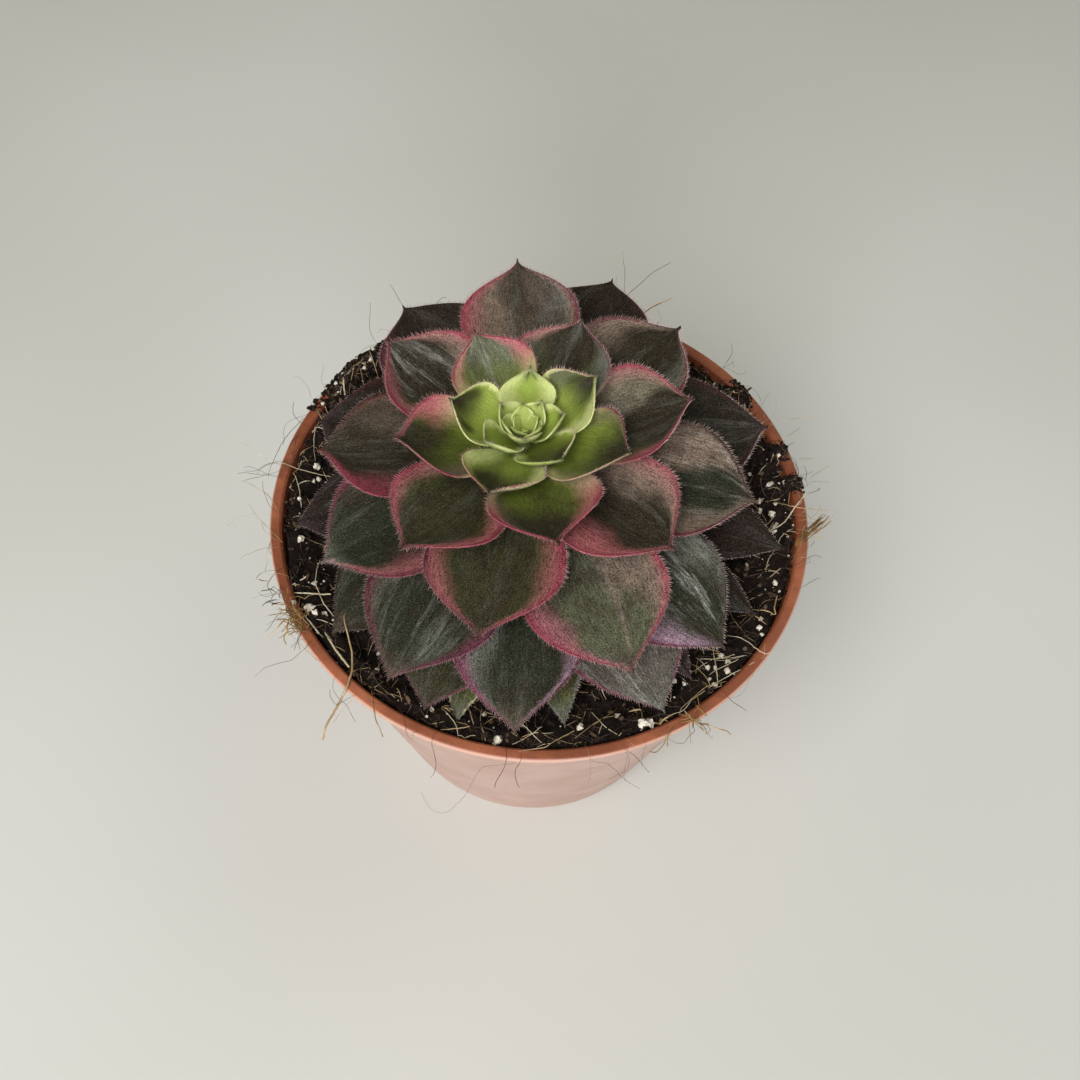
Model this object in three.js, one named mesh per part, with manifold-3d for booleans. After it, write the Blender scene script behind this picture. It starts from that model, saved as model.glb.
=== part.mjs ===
// A potted aeonium: one rosette of broad, pointed leaves on a short stem, standing in a pot of peat.
// Millimetres, +Z up. The origin is the middle of the pot's underside, and -Y is the front.
// Leaves are numbered by rank, from the youngest at the heart to the oldest on the soil, and every
// one turns from the one before it by the same angle, as the plant grows them.

import * as THREE from 'three';
import { mergeVertices } from 'three/addons/utils/BufferGeometryUtils.js';
import Module from 'manifold-3d';

const wasm = await Module();
wasm.setup();

// Driving dimensions

const pot = {
  height: 95,
  rimRadius: 60,
  lipWidth: 2.6,
  collarHeight: 5,
  bodyTopRadius: 57.2,
  bodyFootRadius: 41.2,
  footRadius: 40.6,
  footBand: 2.6,
  wall: 1.3,
  floor: 1.8,
  recess: 1.4,
  recessRadius: 34,
  rounding: 0.5,
  lipEdge: 1.2,
  step: 1.2,
  sides: 60,
  drainHoles: 8,
  drainRadius: 3.5,
  drainCircle: 25,
};

const soil = {
  edgeHeight: 90.6,
  middleHeight: 83.6,
  dishRadius: 44,
  wallTop: 90,
  crumbHeight: 0.8,
  crumbSpacing: 5.2,
  sectors: 60,
  rings: [54, 52, 49.5, 47, 44, 40, 34, 24, 12],
  perliteCount: 48,
  perliteSmallest: 0.8,
  perliteLargest: 1.7,
  perliteInner: 36,
  perliteOuter: 54,
  perliteFlatness: 0.8,
  perliteSunk: 0.5,
  seed: 7,
};

// The soil's relief: three waves at odd angles, so that no row of crumbs shows.
const waves = [
  { x: 0.92, y: 0.39, phase: 0 },
  { x: -0.62, y: 1.15, phase: 1.7 },
  { x: 0.4, y: -0.4, phase: 4.1 },
];

// Soil that was spilled over the lip: where it lies round the rim, and its half sizes.
const heaps = [
  { azimuth: 145, along: 15, across: 4, overhang: 0.6, sunk: 4, rise: 3.4 },
  { azimuth: 36, along: 8, across: 3.6, overhang: 0.4, sunk: 4, rise: 1.6 },
];

const head = {
  x: -4.3,
  y: 7.5,
  leanX: 0.087,
  leanY: 0.014,
  firstAzimuth: 82.5,
  divergence: 137.5,
  youngest: -3,
  oldest: 38,
  remnants: [40, 43, 48, 51, 56],
  backFromRank: 26,
  backReach: 42,
  backWidthShare: 0.8,
};

const stem = {
  foot: 74,
  footRadius: 7.6,
  collar: 84,
  shoulder: 87,
  shoulderRadius: 7,
  top: 108.6,
  topRadius: 1.6,
  rounding: 1,
  sides: 24,
};

const heart = {
  youngest: -9,
  coreRadius: 1.5,
  coreHeight: 4,
  rootRadius: 0.7,
  steps: 5,
};

// Facets along and across a leaf: the small ones round the heart need fewer.
const facets = {
  largeRank: 3,
  smallSteps: 8,
  steps: 11,
  strips: 4,
};

const look = {
  pot: { color: '#a8674a', roughness: 0.5 },
  soil: { color: '#2c1f1a', roughness: 0.95 },
  stem: { color: '#6f6a4a', roughness: 0.7 },
  heart: { color: '#b7cf6a', roughness: 0.55 },
  leaf: { young: '#a9c25a', grown: '#47563a', old: '#3a2c35', roughness: 0.55, grownRank: 12, oldRank: 30 },
};

// The blade that all leaves share, as shares of its length, width or core thickness.
const blade = {
  rootShare: 0.19,
  shoulder: 1.25,
  rootHandle: 0.38,
  tipHandle: 0.36,
  tipCrowding: 0.45,
  taper: 0.35,
  edgeThickness: 0.62,
  tipHalfWidth: 0.32,
};

// Clearance between pieces that touch.
const gap = 0.3;

// How a leaf's sizes and angles change with its rank: [rank, value] stops, straight between them.
const rules = {
  reach: [[-9, 2.2], [-3, 6.4], [2, 16.6], [8, 30], [15, 45], [22, 55], [30, 59], [45, 61]],
  tipHeight: [[-9, 116], [-3, 117.4], [2, 118.5], [8, 118], [15, 110], [22, 101], [36, 94], [50, 92.6]],
  restHeight: [[22, 96.5], [30, 94.6], [40, 92.8], [56, 92.2]],
  rootHeight: [[-9, 110.5], [0, 107.6], [10, 103.6], [20, 99.6], [30, 96], [40, 92.6], [56, 88.4]],
  width: [[-9, 3.6], [-3, 8.4], [2, 17], [8, 24], [15, 29], [22, 31], [30, 28], [56, 23]],
  rootRise: [[-9, 78], [-3, 64], [2, 44], [8, 30], [15, 20], [22, 12], [36, 5]],
  tipRise: [[-9, 96], [-3, 82], [2, 58], [8, 30], [15, 6], [22, -8], [36, -10]],
  cup: [[-9, 60], [-3, 54], [2, 44], [8, 32], [15, 22], [22, 14], [30, 8], [56, 6]],
  widestAt: [[-9, 0.56], [2, 0.6], [15, 0.65], [30, 0.65]],
  ogee: [[-9, 0.9], [15, 0.8], [30, 0.35]],
  coreThickness: [[-9, 0.8], [0, 0.95], [12, 1.4], [30, 1.5]],
};

// Leaves that grew a little off the rule: turn is in degrees, the rest in millimetres.
const offRule = {
  '-3': { turn: 13 },
  '-2': { turn: 5 },
  0: { turn: 5 },
  3: { turn: 3, reach: -1 },
  5: { turn: 4, reach: 2, rise: 0.6 },
  6: { turn: -2, reach: -1 },
  7: { turn: -7 },
  8: { turn: 4, reach: -1, rise: -1 },
  10: { turn: -2, reach: 5 },
  13: { reach: 7, rise: 2 },
  15: { turn: 5 },
  17: { turn: -3 },
  18: { reach: 2 },
  19: { turn: -5, reach: 1 },
  20: { turn: 2, reach: -2 },
  21: { turn: -5, reach: 2 },
  22: { turn: -2, reach: 2 },
  23: { turn: 7, reach: -6, rise: -3 },
  24: { turn: -11, rise: -2 },
  25: { reach: 2 },
  27: { turn: -15, reach: 4, rise: -2 },
  28: { turn: 6, reach: -6, rise: -2, width: -7 },
  30: { turn: -6, reach: 4, rise: 0.4 },
  31: { turn: -6, width: -4 },
  33: { turn: 3, reach: -3, width: -2 },
  35: { turn: -11, reach: 5 },
  36: { width: -6 },
  38: { turn: -4, width: 2 },
  40: { width: -7 },
  43: { turn: -9, width: -12 },
  48: { turn: 4, width: -10 },
  51: { turn: -10, width: -11 },
  56: { turn: 5, width: -8 },
};

// Straight-line value of a rule at a rank.
function ruled(stops, rank) {
  const held = THREE.MathUtils.clamp(rank, stops[0][0], stops.at(-1)[0]);
  const next = Math.max(1, stops.findIndex(([at]) => at >= held));
  const [lowAt, low] = stops[next - 1];
  const [highAt, high] = stops[next];
  return THREE.MathUtils.mapLinear(held, lowAt, highAt, low, high);
}

// Distance of the stem's surface from its axis at a height.
function stemRadius(height) {
  const held = THREE.MathUtils.clamp(height, stem.shoulder, stem.top);
  return THREE.MathUtils.mapLinear(held, stem.shoulder, stem.top, stem.shoulderRadius, stem.topRadius);
}

// All the sizes and angles of the leaf of one rank. The head leans, and what would droop into the
// soil lies on it. Behind the head the old leaves are short.
function leafOf(rank) {
  const own = offRule[rank] ?? {};
  const rootHeight = ruled(rules.rootHeight, rank);
  const degrees = head.firstAzimuth - head.divergence * rank + (own.turn ?? 0);
  const azimuth = THREE.MathUtils.degToRad(degrees);
  const isBack = rank >= head.backFromRank && Math.sin(azimuth) > 0;
  const reach = isBack ? head.backReach : ruled(rules.reach, rank) + (own.reach ?? 0);
  const lean = reach * (head.leanX * Math.cos(azimuth) + head.leanY * Math.sin(azimuth));
  const resting = ruled(rules.restHeight, rank) - lean;
  const hanging = ruled(rules.tipHeight, rank) + (own.rise ?? 0);
  const fullWidth = ruled(rules.width, rank) + (own.width ?? 0);
  return {
    azimuth,
    rootRadius: stemRadius(rootHeight) + gap,
    rootHeight,
    reach,
    tipHeight: Math.max(hanging, resting),
    width: isBack ? head.backWidthShare * fullWidth : fullWidth,
    rootRise: THREE.MathUtils.degToRad(ruled(rules.rootRise, rank)),
    tipRise: THREE.MathUtils.degToRad(ruled(rules.tipRise, rank)),
    cup: THREE.MathUtils.degToRad(ruled(rules.cup, rank)),
    widestAt: ruled(rules.widestAt, rank),
    ogee: ruled(rules.ogee, rank),
    core: ruled(rules.coreThickness, rank),
  };
}

// Half width along a leaf as a share of its widest: a wedge at the root, round shoulders, then an
// ogee that ends in the short point.
function outline(t, { widestAt, ogee }) {
  if (t < widestAt) {
    const share = Math.sin((Math.PI / 2) * (t / widestAt)) ** blade.shoulder;
    return THREE.MathUtils.lerp(blade.rootShare, 1, share);
  }
  const s = (t - widestAt) / (1 - widestAt);
  return Math.max(0, Math.cos((Math.PI / 2) * s)) ** (1 + ogee * s ** 3);
}

// The midrib, as a curve of (distance from the axis, height).
function midrib(leaf) {
  const root = new THREE.Vector2(leaf.rootRadius, leaf.rootHeight);
  const tip = new THREE.Vector2(leaf.reach, leaf.tipHeight);
  const length = root.distanceTo(tip);
  const leaving = new THREE.Vector2(Math.cos(leaf.rootRise), Math.sin(leaf.rootRise));
  const arriving = new THREE.Vector2(Math.cos(leaf.tipRise), Math.sin(leaf.tipRise));
  return new THREE.CubicBezierCurve(
    root,
    root.clone().addScaledVector(leaving, blade.rootHandle * length),
    tip.clone().addScaledVector(arriving, -blade.tipHandle * length),
    tip,
  );
}

// A closed leaf: rings of points along the midrib, upper face then lower face, bent to a trough.
function leafGeometry(leaf, steps) {
  const { strips } = facets;
  const rib = midrib(leaf);
  const outward = new THREE.Vector3(Math.cos(leaf.azimuth), Math.sin(leaf.azimuth), 0);
  const sideways = new THREE.Vector3(-Math.sin(leaf.azimuth), Math.cos(leaf.azimuth), 0);
  const up = new THREE.Vector3(0, 0, 1);
  const ringSize = 2 * (strips + 1);
  const positions = [];
  const triangles = [];

  for (let i = 0; i <= steps; i += 1) {
    const even = i / steps;
    const t = THREE.MathUtils.lerp(even, Math.sin((Math.PI / 2) * even), blade.tipCrowding);
    const centre = rib.getPointAt(t);
    const heading = rib.getTangentAt(t);
    const halfWidth = Math.max(blade.tipHalfWidth, 0.5 * leaf.width * outline(t, leaf));
    const ring = [];
    for (let j = 0; j < ringSize; j += 1) {
      const isUpper = j <= strips;
      const column = isUpper ? j : ringSize - 1 - j;
      const share = 1 - (2 * column) / strips;
      const bend = share * leaf.cup;
      const across = (halfWidth * Math.sin(bend)) / leaf.cup;
      const lift = (halfWidth * (1 - Math.cos(bend))) / leaf.cup;
      const core = Math.max(blade.edgeThickness, leaf.core * (1 - blade.taper * t));
      const thickness = THREE.MathUtils.lerp(core, blade.edgeThickness, share ** 2);
      const offset = (isUpper ? 0.5 : -0.5) * thickness;
      const rise = lift + offset * Math.cos(bend);
      const point = outward.clone().multiplyScalar(centre.x - heading.y * rise);
      point.addScaledVector(sideways, across - offset * Math.sin(bend));
      point.addScaledVector(up, centre.y + heading.x * rise);
      point.z += head.leanX * point.x + head.leanY * point.y;
      point.x += head.x;
      point.y += head.y;
      ring.push(...point.toArray());
    }
    positions.push(...ring);
  }

  for (let i = 0; i < steps; i += 1) {
    for (let j = 0; j < ringSize; j += 1) {
      const here = i * ringSize + j;
      const beside = i * ringSize + ((j + 1) % ringSize);
      const ahead = here + ringSize;
      const diagonal = beside + ringSize;
      if (j <= strips) {
        triangles.push(here, beside, diagonal, here, diagonal, ahead);
      } else {
        triangles.push(here, beside, ahead, beside, diagonal, ahead);
      }
    }
  }
  const lastRing = steps * ringSize;
  for (let j = 0; j < strips; j += 1) {
    const under = ringSize - 1 - j;
    triangles.push(j, under, j + 1, j + 1, under, under - 1);
    triangles.push(lastRing + j, lastRing + j + 1, lastRing + under);
    triangles.push(lastRing + j + 1, lastRing + under - 1, lastRing + under);
  }
  const geometry = new THREE.BufferGeometry();
  geometry.setAttribute('position', new THREE.Float32BufferAttribute(positions, 3));
  geometry.setIndex(triangles);
  return geometry;
}

// A closed three.js geometry as a solid that can be joined and cut.
function toSolid(geometry) {
  const bare = geometry.clone();
  bare.deleteAttribute('normal');
  bare.deleteAttribute('uv');
  const merged = mergeVertices(bare, 1e-4);
  const mesh = new wasm.Mesh({
    numProp: 3,
    vertProperties: new Float32Array(merged.attributes.position.array),
    triVerts: new Uint32Array(merged.index.array),
  });
  return new wasm.Manifold(mesh);
}

function toGeometry(solid) {
  const mesh = solid.getMesh();
  const geometry = new THREE.BufferGeometry();
  geometry.setAttribute('position', new THREE.Float32BufferAttribute(mesh.vertProperties, 3));
  geometry.setIndex(new THREE.Uint32BufferAttribute(mesh.triVerts, 1));
  return geometry;
}

function lathe(profile, sides) {
  const geometry = new THREE.LatheGeometry(profile.map(([r, z]) => new THREE.Vector2(r, z)), sides);
  geometry.rotateX(Math.PI / 2);
  return geometry;
}

// The same random draws every time: a small generator started from a whole number.
function randomFrom(seed) {
  let state = seed;
  return () => {
    state = (state * 1664525 + 1013904223) % 4294967296;
    return state / 4294967296;
  };
}

// Pot

function innerRadius(height) {
  const wallTop = pot.height - pot.collarHeight;
  const share = (height - pot.footBand) / (wallTop - pot.footBand);
  return THREE.MathUtils.lerp(pot.bodyFootRadius, pot.bodyTopRadius, share) - pot.wall;
}

function makePot() {
  const wallTop = pot.height - pot.collarHeight;
  const floorTop = pot.recess + pot.floor;
  const lipInner = pot.rimRadius - pot.lipWidth;
  const round = pot.rounding;
  const profile = [
    [0, pot.recess],
    [pot.recessRadius, pot.recess],
    [pot.recessRadius + round, 0],
    [pot.footRadius - round, 0],
    [pot.footRadius, round],
    [pot.bodyFootRadius - round, pot.footBand],
    [pot.bodyFootRadius, pot.footBand + round],
    [pot.bodyTopRadius, wallTop],
    [pot.rimRadius - pot.step, wallTop + round],
    [pot.rimRadius - round, pot.height - pot.lipEdge - round],
    [pot.rimRadius, pot.height - pot.lipEdge],
    [pot.rimRadius, pot.height - round],
    [pot.rimRadius - round, pot.height],
    [lipInner + round, pot.height],
    [lipInner, pot.height - round],
    [lipInner - round / 2, wallTop + pot.step],
    [innerRadius(wallTop), wallTop - pot.step],
    [innerRadius(floorTop + pot.step), floorTop + pot.step],
    [innerRadius(floorTop) - pot.step, floorTop],
    [0, floorTop],
  ];
  let body = toSolid(lathe(profile, pot.sides));
  for (let i = 0; i < pot.drainHoles; i += 1) {
    const angle = (2 * Math.PI * (i + 0.5)) / pot.drainHoles;
    const drill = new THREE.CylinderGeometry(pot.drainRadius, pot.drainRadius, 3 * floorTop, 12);
    drill.rotateX(Math.PI / 2);
    drill.translate(pot.drainCircle * Math.cos(angle), pot.drainCircle * Math.sin(angle), 0);
    body = body.subtract(toSolid(drill));
  }
  return toGeometry(body);
}

// Soil

// Height of a crumb at a place.
function crumbs(x, y) {
  const k = (2 * Math.PI) / soil.crumbSpacing;
  const heights = waves.map((wave) => Math.sin(k * (wave.x * x + wave.y * y) + wave.phase));
  return (soil.crumbHeight * heights.reduce((sum, height) => sum + height, 0)) / waves.length;
}

function soilHeight(x, y) {
  const share = Math.min(1, Math.hypot(x, y) / soil.dishRadius);
  return soil.middleHeight + (soil.edgeHeight - soil.middleHeight) * share ** 4 + crumbs(x, y);
}

// The bed: a closed body with a crumbly top and a wall that follows the pot.
function bedGeometry() {
  const bottom = pot.recess + pot.floor + gap;
  const rows = [
    { radius: innerRadius(bottom) - pot.step - gap, height: bottom },
    { radius: innerRadius(bottom + pot.step) - gap, height: bottom + pot.step },
    { radius: innerRadius(soil.wallTop) - gap, height: soil.wallTop },
  ];
  soil.rings.forEach((radius) => rows.push({ radius }));
  const positions = [];
  for (const { radius, height } of rows) {
    for (let i = 0; i < soil.sectors; i += 1) {
      const angle = (2 * Math.PI * i) / soil.sectors;
      const x = radius * Math.cos(angle);
      const y = radius * Math.sin(angle);
      positions.push(x, y, height ?? soilHeight(x, y));
    }
  }
  const floorMiddle = positions.length / 3;
  const topMiddle = floorMiddle + 1;
  positions.push(0, 0, bottom, 0, 0, soil.middleHeight);
  const triangles = [];
  const last = (rows.length - 1) * soil.sectors;
  for (let i = 0; i < soil.sectors; i += 1) {
    const next = (i + 1) % soil.sectors;
    triangles.push(floorMiddle, next, i);
    for (let low = 0; low < last; low += soil.sectors) {
      const high = low + soil.sectors;
      triangles.push(low + i, low + next, high + next, low + i, high + next, high + i);
    }
    triangles.push(topMiddle, last + i, last + next);
  }
  const geometry = new THREE.BufferGeometry();
  geometry.setAttribute('position', new THREE.Float32BufferAttribute(positions, 3));
  geometry.setIndex(triangles);
  return geometry;
}

// A lump of soil that lies against the lip and over it.
function heapGeometry(heap) {
  const geometry = new THREE.IcosahedronGeometry(1, 2);
  const place = geometry.attributes.position;
  const azimuth = THREE.MathUtils.degToRad(heap.azimuth);
  for (let i = 0; i < place.count; i += 1) {
    const angle = azimuth + (heap.along * place.getY(i)) / pot.rimRadius;
    const radius = pot.rimRadius + heap.overhang - heap.across * (1 - place.getX(i));
    const x = radius * Math.cos(angle);
    const y = radius * Math.sin(angle);
    const z = pot.height - heap.sunk + (heap.sunk + heap.rise) * place.getZ(i);
    place.setXYZ(i, x, y, z + crumbs(x, y));
  }
  return geometry;
}

// White perlite grains, half sunk in the bed, at random places.
function perliteGeometries() {
  const random = randomFrom(soil.seed);
  const grains = [];
  for (let i = 0; i < soil.perliteCount; i += 1) {
    const radius = THREE.MathUtils.lerp(soil.perliteInner, soil.perliteOuter, Math.sqrt(random()));
    const angle = 2 * Math.PI * random();
    const size = THREE.MathUtils.lerp(soil.perliteSmallest, soil.perliteLargest, random() ** 2);
    const grain = new THREE.OctahedronGeometry(size, 0);
    grain.rotateX(Math.PI * random());
    grain.rotateZ(Math.PI * random());
    grain.scale(1, 1, soil.perliteFlatness);
    const x = radius * Math.cos(angle);
    const y = radius * Math.sin(angle);
    grain.translate(x, y, soilHeight(x, y) - soil.perliteSunk * size);
    grains.push(grain);
  }
  return grains;
}

function makeSoil() {
  const keepOut = lathe([
    [innerRadius(0) - gap, 0],
    [2 * pot.rimRadius, 0],
    [2 * pot.rimRadius, pot.height + gap],
    [innerRadius(soil.wallTop) - gap, pot.height + gap],
    [innerRadius(soil.wallTop) - gap, soil.wallTop],
    [innerRadius(0) - gap, 0],
  ], pot.sides);
  const potWall = toSolid(keepOut);
  let body = toSolid(bedGeometry());
  heaps.forEach((heap) => {
    body = body.add(toSolid(heapGeometry(heap)).subtract(potWall));
  });
  perliteGeometries().forEach((grain) => {
    body = body.add(toSolid(grain));
  });
  const holeRadius = stem.footRadius + gap;
  const holeDepth = 2 * (soil.middleHeight - stem.foot + gap);
  const hole = new THREE.CylinderGeometry(holeRadius, holeRadius, holeDepth, stem.sides);
  hole.rotateX(Math.PI / 2);
  hole.translate(head.x, head.y, soil.middleHeight);
  return toGeometry(body.subtract(toSolid(hole)));
}

// Stem and heart

function makeStem() {
  const profile = [
    [0, stem.foot],
    [stem.footRadius - stem.rounding, stem.foot],
    [stem.footRadius, stem.foot + stem.rounding],
    [stem.footRadius, stem.collar],
    [stem.shoulderRadius, stem.shoulder],
    [stem.topRadius, stem.top],
    [0, stem.top],
  ];
  const geometry = lathe(profile, stem.sides);
  geometry.translate(head.x, head.y, 0);
  return geometry;
}

// The bud: the youngest leaves, still grown together round a small core.
function makeHeart() {
  const core = new THREE.SphereGeometry(1, 12, 8);
  core.rotateX(Math.PI / 2);
  core.scale(heart.coreRadius, heart.coreRadius, heart.coreHeight / 2);
  core.translate(head.x, head.y, stem.top + gap + heart.coreHeight / 2);
  let body = toSolid(core);
  for (let rank = heart.youngest; rank < head.youngest; rank += 1) {
    const leaf = leafOf(rank);
    leaf.rootRadius = heart.rootRadius;
    body = body.add(toSolid(leafGeometry(leaf, heart.steps)));
  }
  return toGeometry(body);
}

// Assembly

const plant = new THREE.Group();

function addPiece(name, geometry, { color, roughness }) {
  const material = new THREE.MeshStandardMaterial({ color, roughness, metalness: 0 });
  const mesh = new THREE.Mesh(geometry, material);
  mesh.name = name;
  plant.add(mesh);
}

// Lime green at the heart, dark green in the middle and purple-black on the soil.
function leafLook(rank) {
  const { young, grown, old, roughness, grownRank, oldRank } = look.leaf;
  const growing = THREE.MathUtils.smoothstep(rank, 0, grownRank);
  const ageing = THREE.MathUtils.smoothstep(rank, grownRank, oldRank);
  const color = new THREE.Color(young);
  color.lerp(new THREE.Color(grown), growing);
  color.lerp(new THREE.Color(old), ageing);
  return { color, roughness };
}

addPiece('pot', makePot(), look.pot);
addPiece('soil', makeSoil(), look.soil);
addPiece('stem', makeStem(), look.stem);
addPiece('heart', makeHeart(), look.heart);
const ranks = [];
for (let rank = head.youngest; rank <= head.oldest; rank += 1) {
  ranks.push(rank);
}
ranks.push(...head.remnants);
ranks.forEach((rank, index) => {
  const steps = rank < facets.largeRank ? facets.smallSteps : facets.steps;
  const number = String(index + 1).padStart(2, '0');
  addPiece(`leaf_${number}`, leafGeometry(leafOf(rank), steps), leafLook(rank));
});

export default plant;
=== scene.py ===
import math
from functools import partial

import bpy
import numpy as np
from mathutils import Matrix, Vector, noise


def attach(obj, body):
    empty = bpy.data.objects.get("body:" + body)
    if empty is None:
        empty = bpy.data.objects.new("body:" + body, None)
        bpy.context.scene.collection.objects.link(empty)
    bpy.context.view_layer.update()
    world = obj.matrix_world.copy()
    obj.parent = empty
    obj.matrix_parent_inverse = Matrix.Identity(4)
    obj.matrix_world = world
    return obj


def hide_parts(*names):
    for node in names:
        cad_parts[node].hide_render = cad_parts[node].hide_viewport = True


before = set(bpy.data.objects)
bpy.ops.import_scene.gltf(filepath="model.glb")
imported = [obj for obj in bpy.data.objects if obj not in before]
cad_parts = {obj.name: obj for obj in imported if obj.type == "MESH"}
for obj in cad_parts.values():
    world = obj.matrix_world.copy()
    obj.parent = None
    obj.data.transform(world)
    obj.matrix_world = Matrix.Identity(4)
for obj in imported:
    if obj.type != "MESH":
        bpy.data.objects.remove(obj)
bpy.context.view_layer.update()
print("frame loaded:", len(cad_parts), "nodes")

mm = 0.001


def clearSelection():
    if bpy.context.object and bpy.context.object.mode != "OBJECT":
        bpy.ops.object.mode_set(mode="OBJECT")
    bpy.ops.object.select_all(action="DESELECT")


def pick(*pieces):  # the first one is the active one
    clearSelection()
    for piece in pieces:
        piece.select_set(True)
    bpy.context.view_layer.objects.active = pieces[0]


def joinPieces(*pieces):
    pick(*pieces)
    bpy.ops.object.join()
    return pieces[0]


def applyModifier(piece, kind, **settings):
    pick(piece)
    modifier = piece.modifiers.new(kind.lower(), kind)
    for name, value in settings.items():
        setattr(modifier, name, value)
    bpy.ops.object.modifier_apply(modifier=modifier.name)


def smooth(low, high, value):
    x = np.clip((np.asarray(value, float) - low) / (high - low), 0, 1)
    return x * x * (3 - 2 * x)


def mix(a, b, share):
    share = np.asarray(share, float)
    if share.ndim == 1:
        share = share[:, None]
    return np.asarray(a) * (1 - share) + np.asarray(b) * share


def paint(hexText):  # an sRGB hex colour as linear light
    channels = [int(hexText[i:i + 2], 16) / 255 for i in (1, 3, 5)]
    return np.array([c / 12.92 if c <= 0.04045 else ((c + 0.055) / 1.055) ** 2.4 for c in channels])


def rgba(hexText):
    return (*paint(hexText), 1)


def perMm(size):  # the scale of a pattern whose features are this many mm wide
    return 1 / (size * mm)


def fillSockets(node, inputs):  # a socket is linked, and anything else is set as a value
    for name, value in inputs.items():
        if isinstance(value, bpy.types.NodeSocket):
            node.id_data.links.new(value, node.inputs[name])
        else:
            node.inputs[name].default_value = value


def addNode(tree, kind, inputs=(), output=0, **settings):
    node = tree.nodes.new("ShaderNode" + kind)
    for name, value in settings.items():
        setattr(node, name, value)
    fillSockets(node, inputs if isinstance(inputs, dict) else dict(enumerate(inputs)))
    return node.outputs[output]


def newMaterial(name):
    material = bpy.data.materials.new(name)
    material.use_nodes = True
    tree = material.node_tree
    return material, partial(addNode, tree), tree.nodes["Principled BSDF"]


eased = {"interpolation_type": "SMOOTHSTEP"}


# Each layer is a share and a tint. A share made as a list is a pattern, its values where the layer begins and where
# it is full, and the shares there where they aren't 0 and 1.
def layTints(add, ground, *layers):
    for share, tint in layers:
        if isinstance(share, list):
            share = add("MapRange", share, **eased)
        tint = rgba(tint) if isinstance(tint, str) else tint
        ground = add("Mix", {0: share, 6: ground, 7: tint}, 2, data_type="RGBA")
    return ground


def finishPiece(piece, name, slot, *nodes):
    piece.name = name
    piece.data.name = name
    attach(piece, "root")
    if nodes:
        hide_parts(*nodes)


cameraLook = {
    "place": (0.3, -131.3, 299.4),
    "aim": (0.3, -6.6, 90),
    "roll": 3.0,
    "lens": 36.1,
    "sensor": 36,
}


def makeCamera(look):
    data = bpy.data.cameras.new("camera")
    data.lens = look["lens"]
    data.sensor_width = look["sensor"]
    data.clip_start = 0.01
    camera = bpy.data.objects.new("camera", data)
    bpy.context.scene.collection.objects.link(camera)
    place = Vector(look["place"]) * mm
    turn = (Vector(look["aim"]) * mm - place).to_track_quat("-Z", "Y").to_matrix().to_4x4()
    camera.matrix_world = Matrix.Translation(place) @ turn @ Matrix.Rotation(math.radians(look["roll"]), 4, "Z")
    bpy.context.scene.camera = camera


floorLook = {"side": 4.0, "tint": "#d9dad6", "shade": "#cdcec8", "roughness": 0.6}


def makeFloor(look):
    clearSelection()
    bpy.ops.mesh.primitive_plane_add(size=look["side"], location=(0, 0, 0))
    floor = bpy.context.object
    floor.name = "floor"
    material, add, shader = newMaterial("matte laminate board")  # even, with a faint cloudiness
    cloud = add("TexNoise", {"Vector": add("TexCoord", output="Object"), "Scale": 3, "Detail": 2})
    tint = layTints(add, rgba(look["tint"]), ([cloud, 0.3, 0.7], look["shade"]))
    fillSockets(shader, {"Base Color": tint, "Roughness": look["roughness"], "Specular IOR Level": 0.3})
    floor.data.materials.append(material)


lightLook = {
    "sky": "#e6e3d4", "skyStrength": 0.27,
    "lamps": [
        {"place": (-0.35, -0.6, 1.0), "size": 0.6, "power": 9.2, "tint": "#fffdf8"},
        {"place": (0.7, 0.3, 1.2), "size": 0.7, "power": 2, "tint": "#f8f4ea"},
        {"place": (-0.1, -1.1, 0.5), "size": 0.7, "power": 9.4, "tint": "#f1f3ff"},
    ],
}


def makeLights(look):
    world = bpy.data.worlds.new("sky")
    bpy.context.scene.world = world
    world.use_nodes = True
    world.node_tree.nodes["Background"].inputs[0].default_value = rgba(look["sky"])
    world.node_tree.nodes["Background"].inputs[1].default_value = look["skyStrength"]
    for i, lamp in enumerate(look["lamps"]):
        data = bpy.data.lights.new(f"softbox{i + 1}", "AREA")
        data.size = lamp["size"]
        data.energy = lamp["power"]
        data.color = tuple(paint(lamp["tint"]))
        light = bpy.data.objects.new(data.name, data)
        bpy.context.scene.collection.objects.link(light)
        light.location = lamp["place"]
        light.rotation_euler = (Vector((0, 0, 0.09)) - light.location).to_track_quat("-Z", "Y").to_euler()


bpy.context.scene.view_settings.view_transform = "Standard"
makeCamera(cameraLook)
makeFloor(floorLook)
makeLights(lightLook)
print("camera, floor and lights set")


potShape = {
    "height": 95, "rimRadius": 60, "lipWidth": 2.6, "collarHeight": 5, "bodyTopRadius": 57.2,
    "bodyFootRadius": 41.2, "footRadius": 40.6, "footBand": 2.6, "wall": 1.3, "floor": 1.8,
    "recess": 1.4, "recessRadius": 34, "lipEdge": 1.2, "step": 1.2, "rounding": 0.5,
    "turns": 200, "drainHoles": 8, "drainRadius": 3.5, "drainCircle": 25,
    # the wall tints are painted paler than the lip's terracotta, the plastic's own colour: painted glare, mottled at
    # random between the two
    "lip": "#82462c", "lipPale": "#a45f40", "edge": "#d6a892", "wallTintPaintedGlare": "#c29f90", "wallMottlePaintedGlare": "#b89585",
    "dirt": "#4a372d", "lineMm": 0.3, "scratchMm": 0.25, "grainMm": 0.5, "speckMm": 3.2, "cloudsPerM": 60,
}


def innerRadius(height):
    shape = potShape
    wallTop = shape["height"] - shape["collarHeight"]
    share = (height - shape["footBand"]) / (wallTop - shape["footBand"])
    return shape["bodyFootRadius"] + (shape["bodyTopRadius"] - shape["bodyFootRadius"]) * share - shape["wall"]


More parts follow.
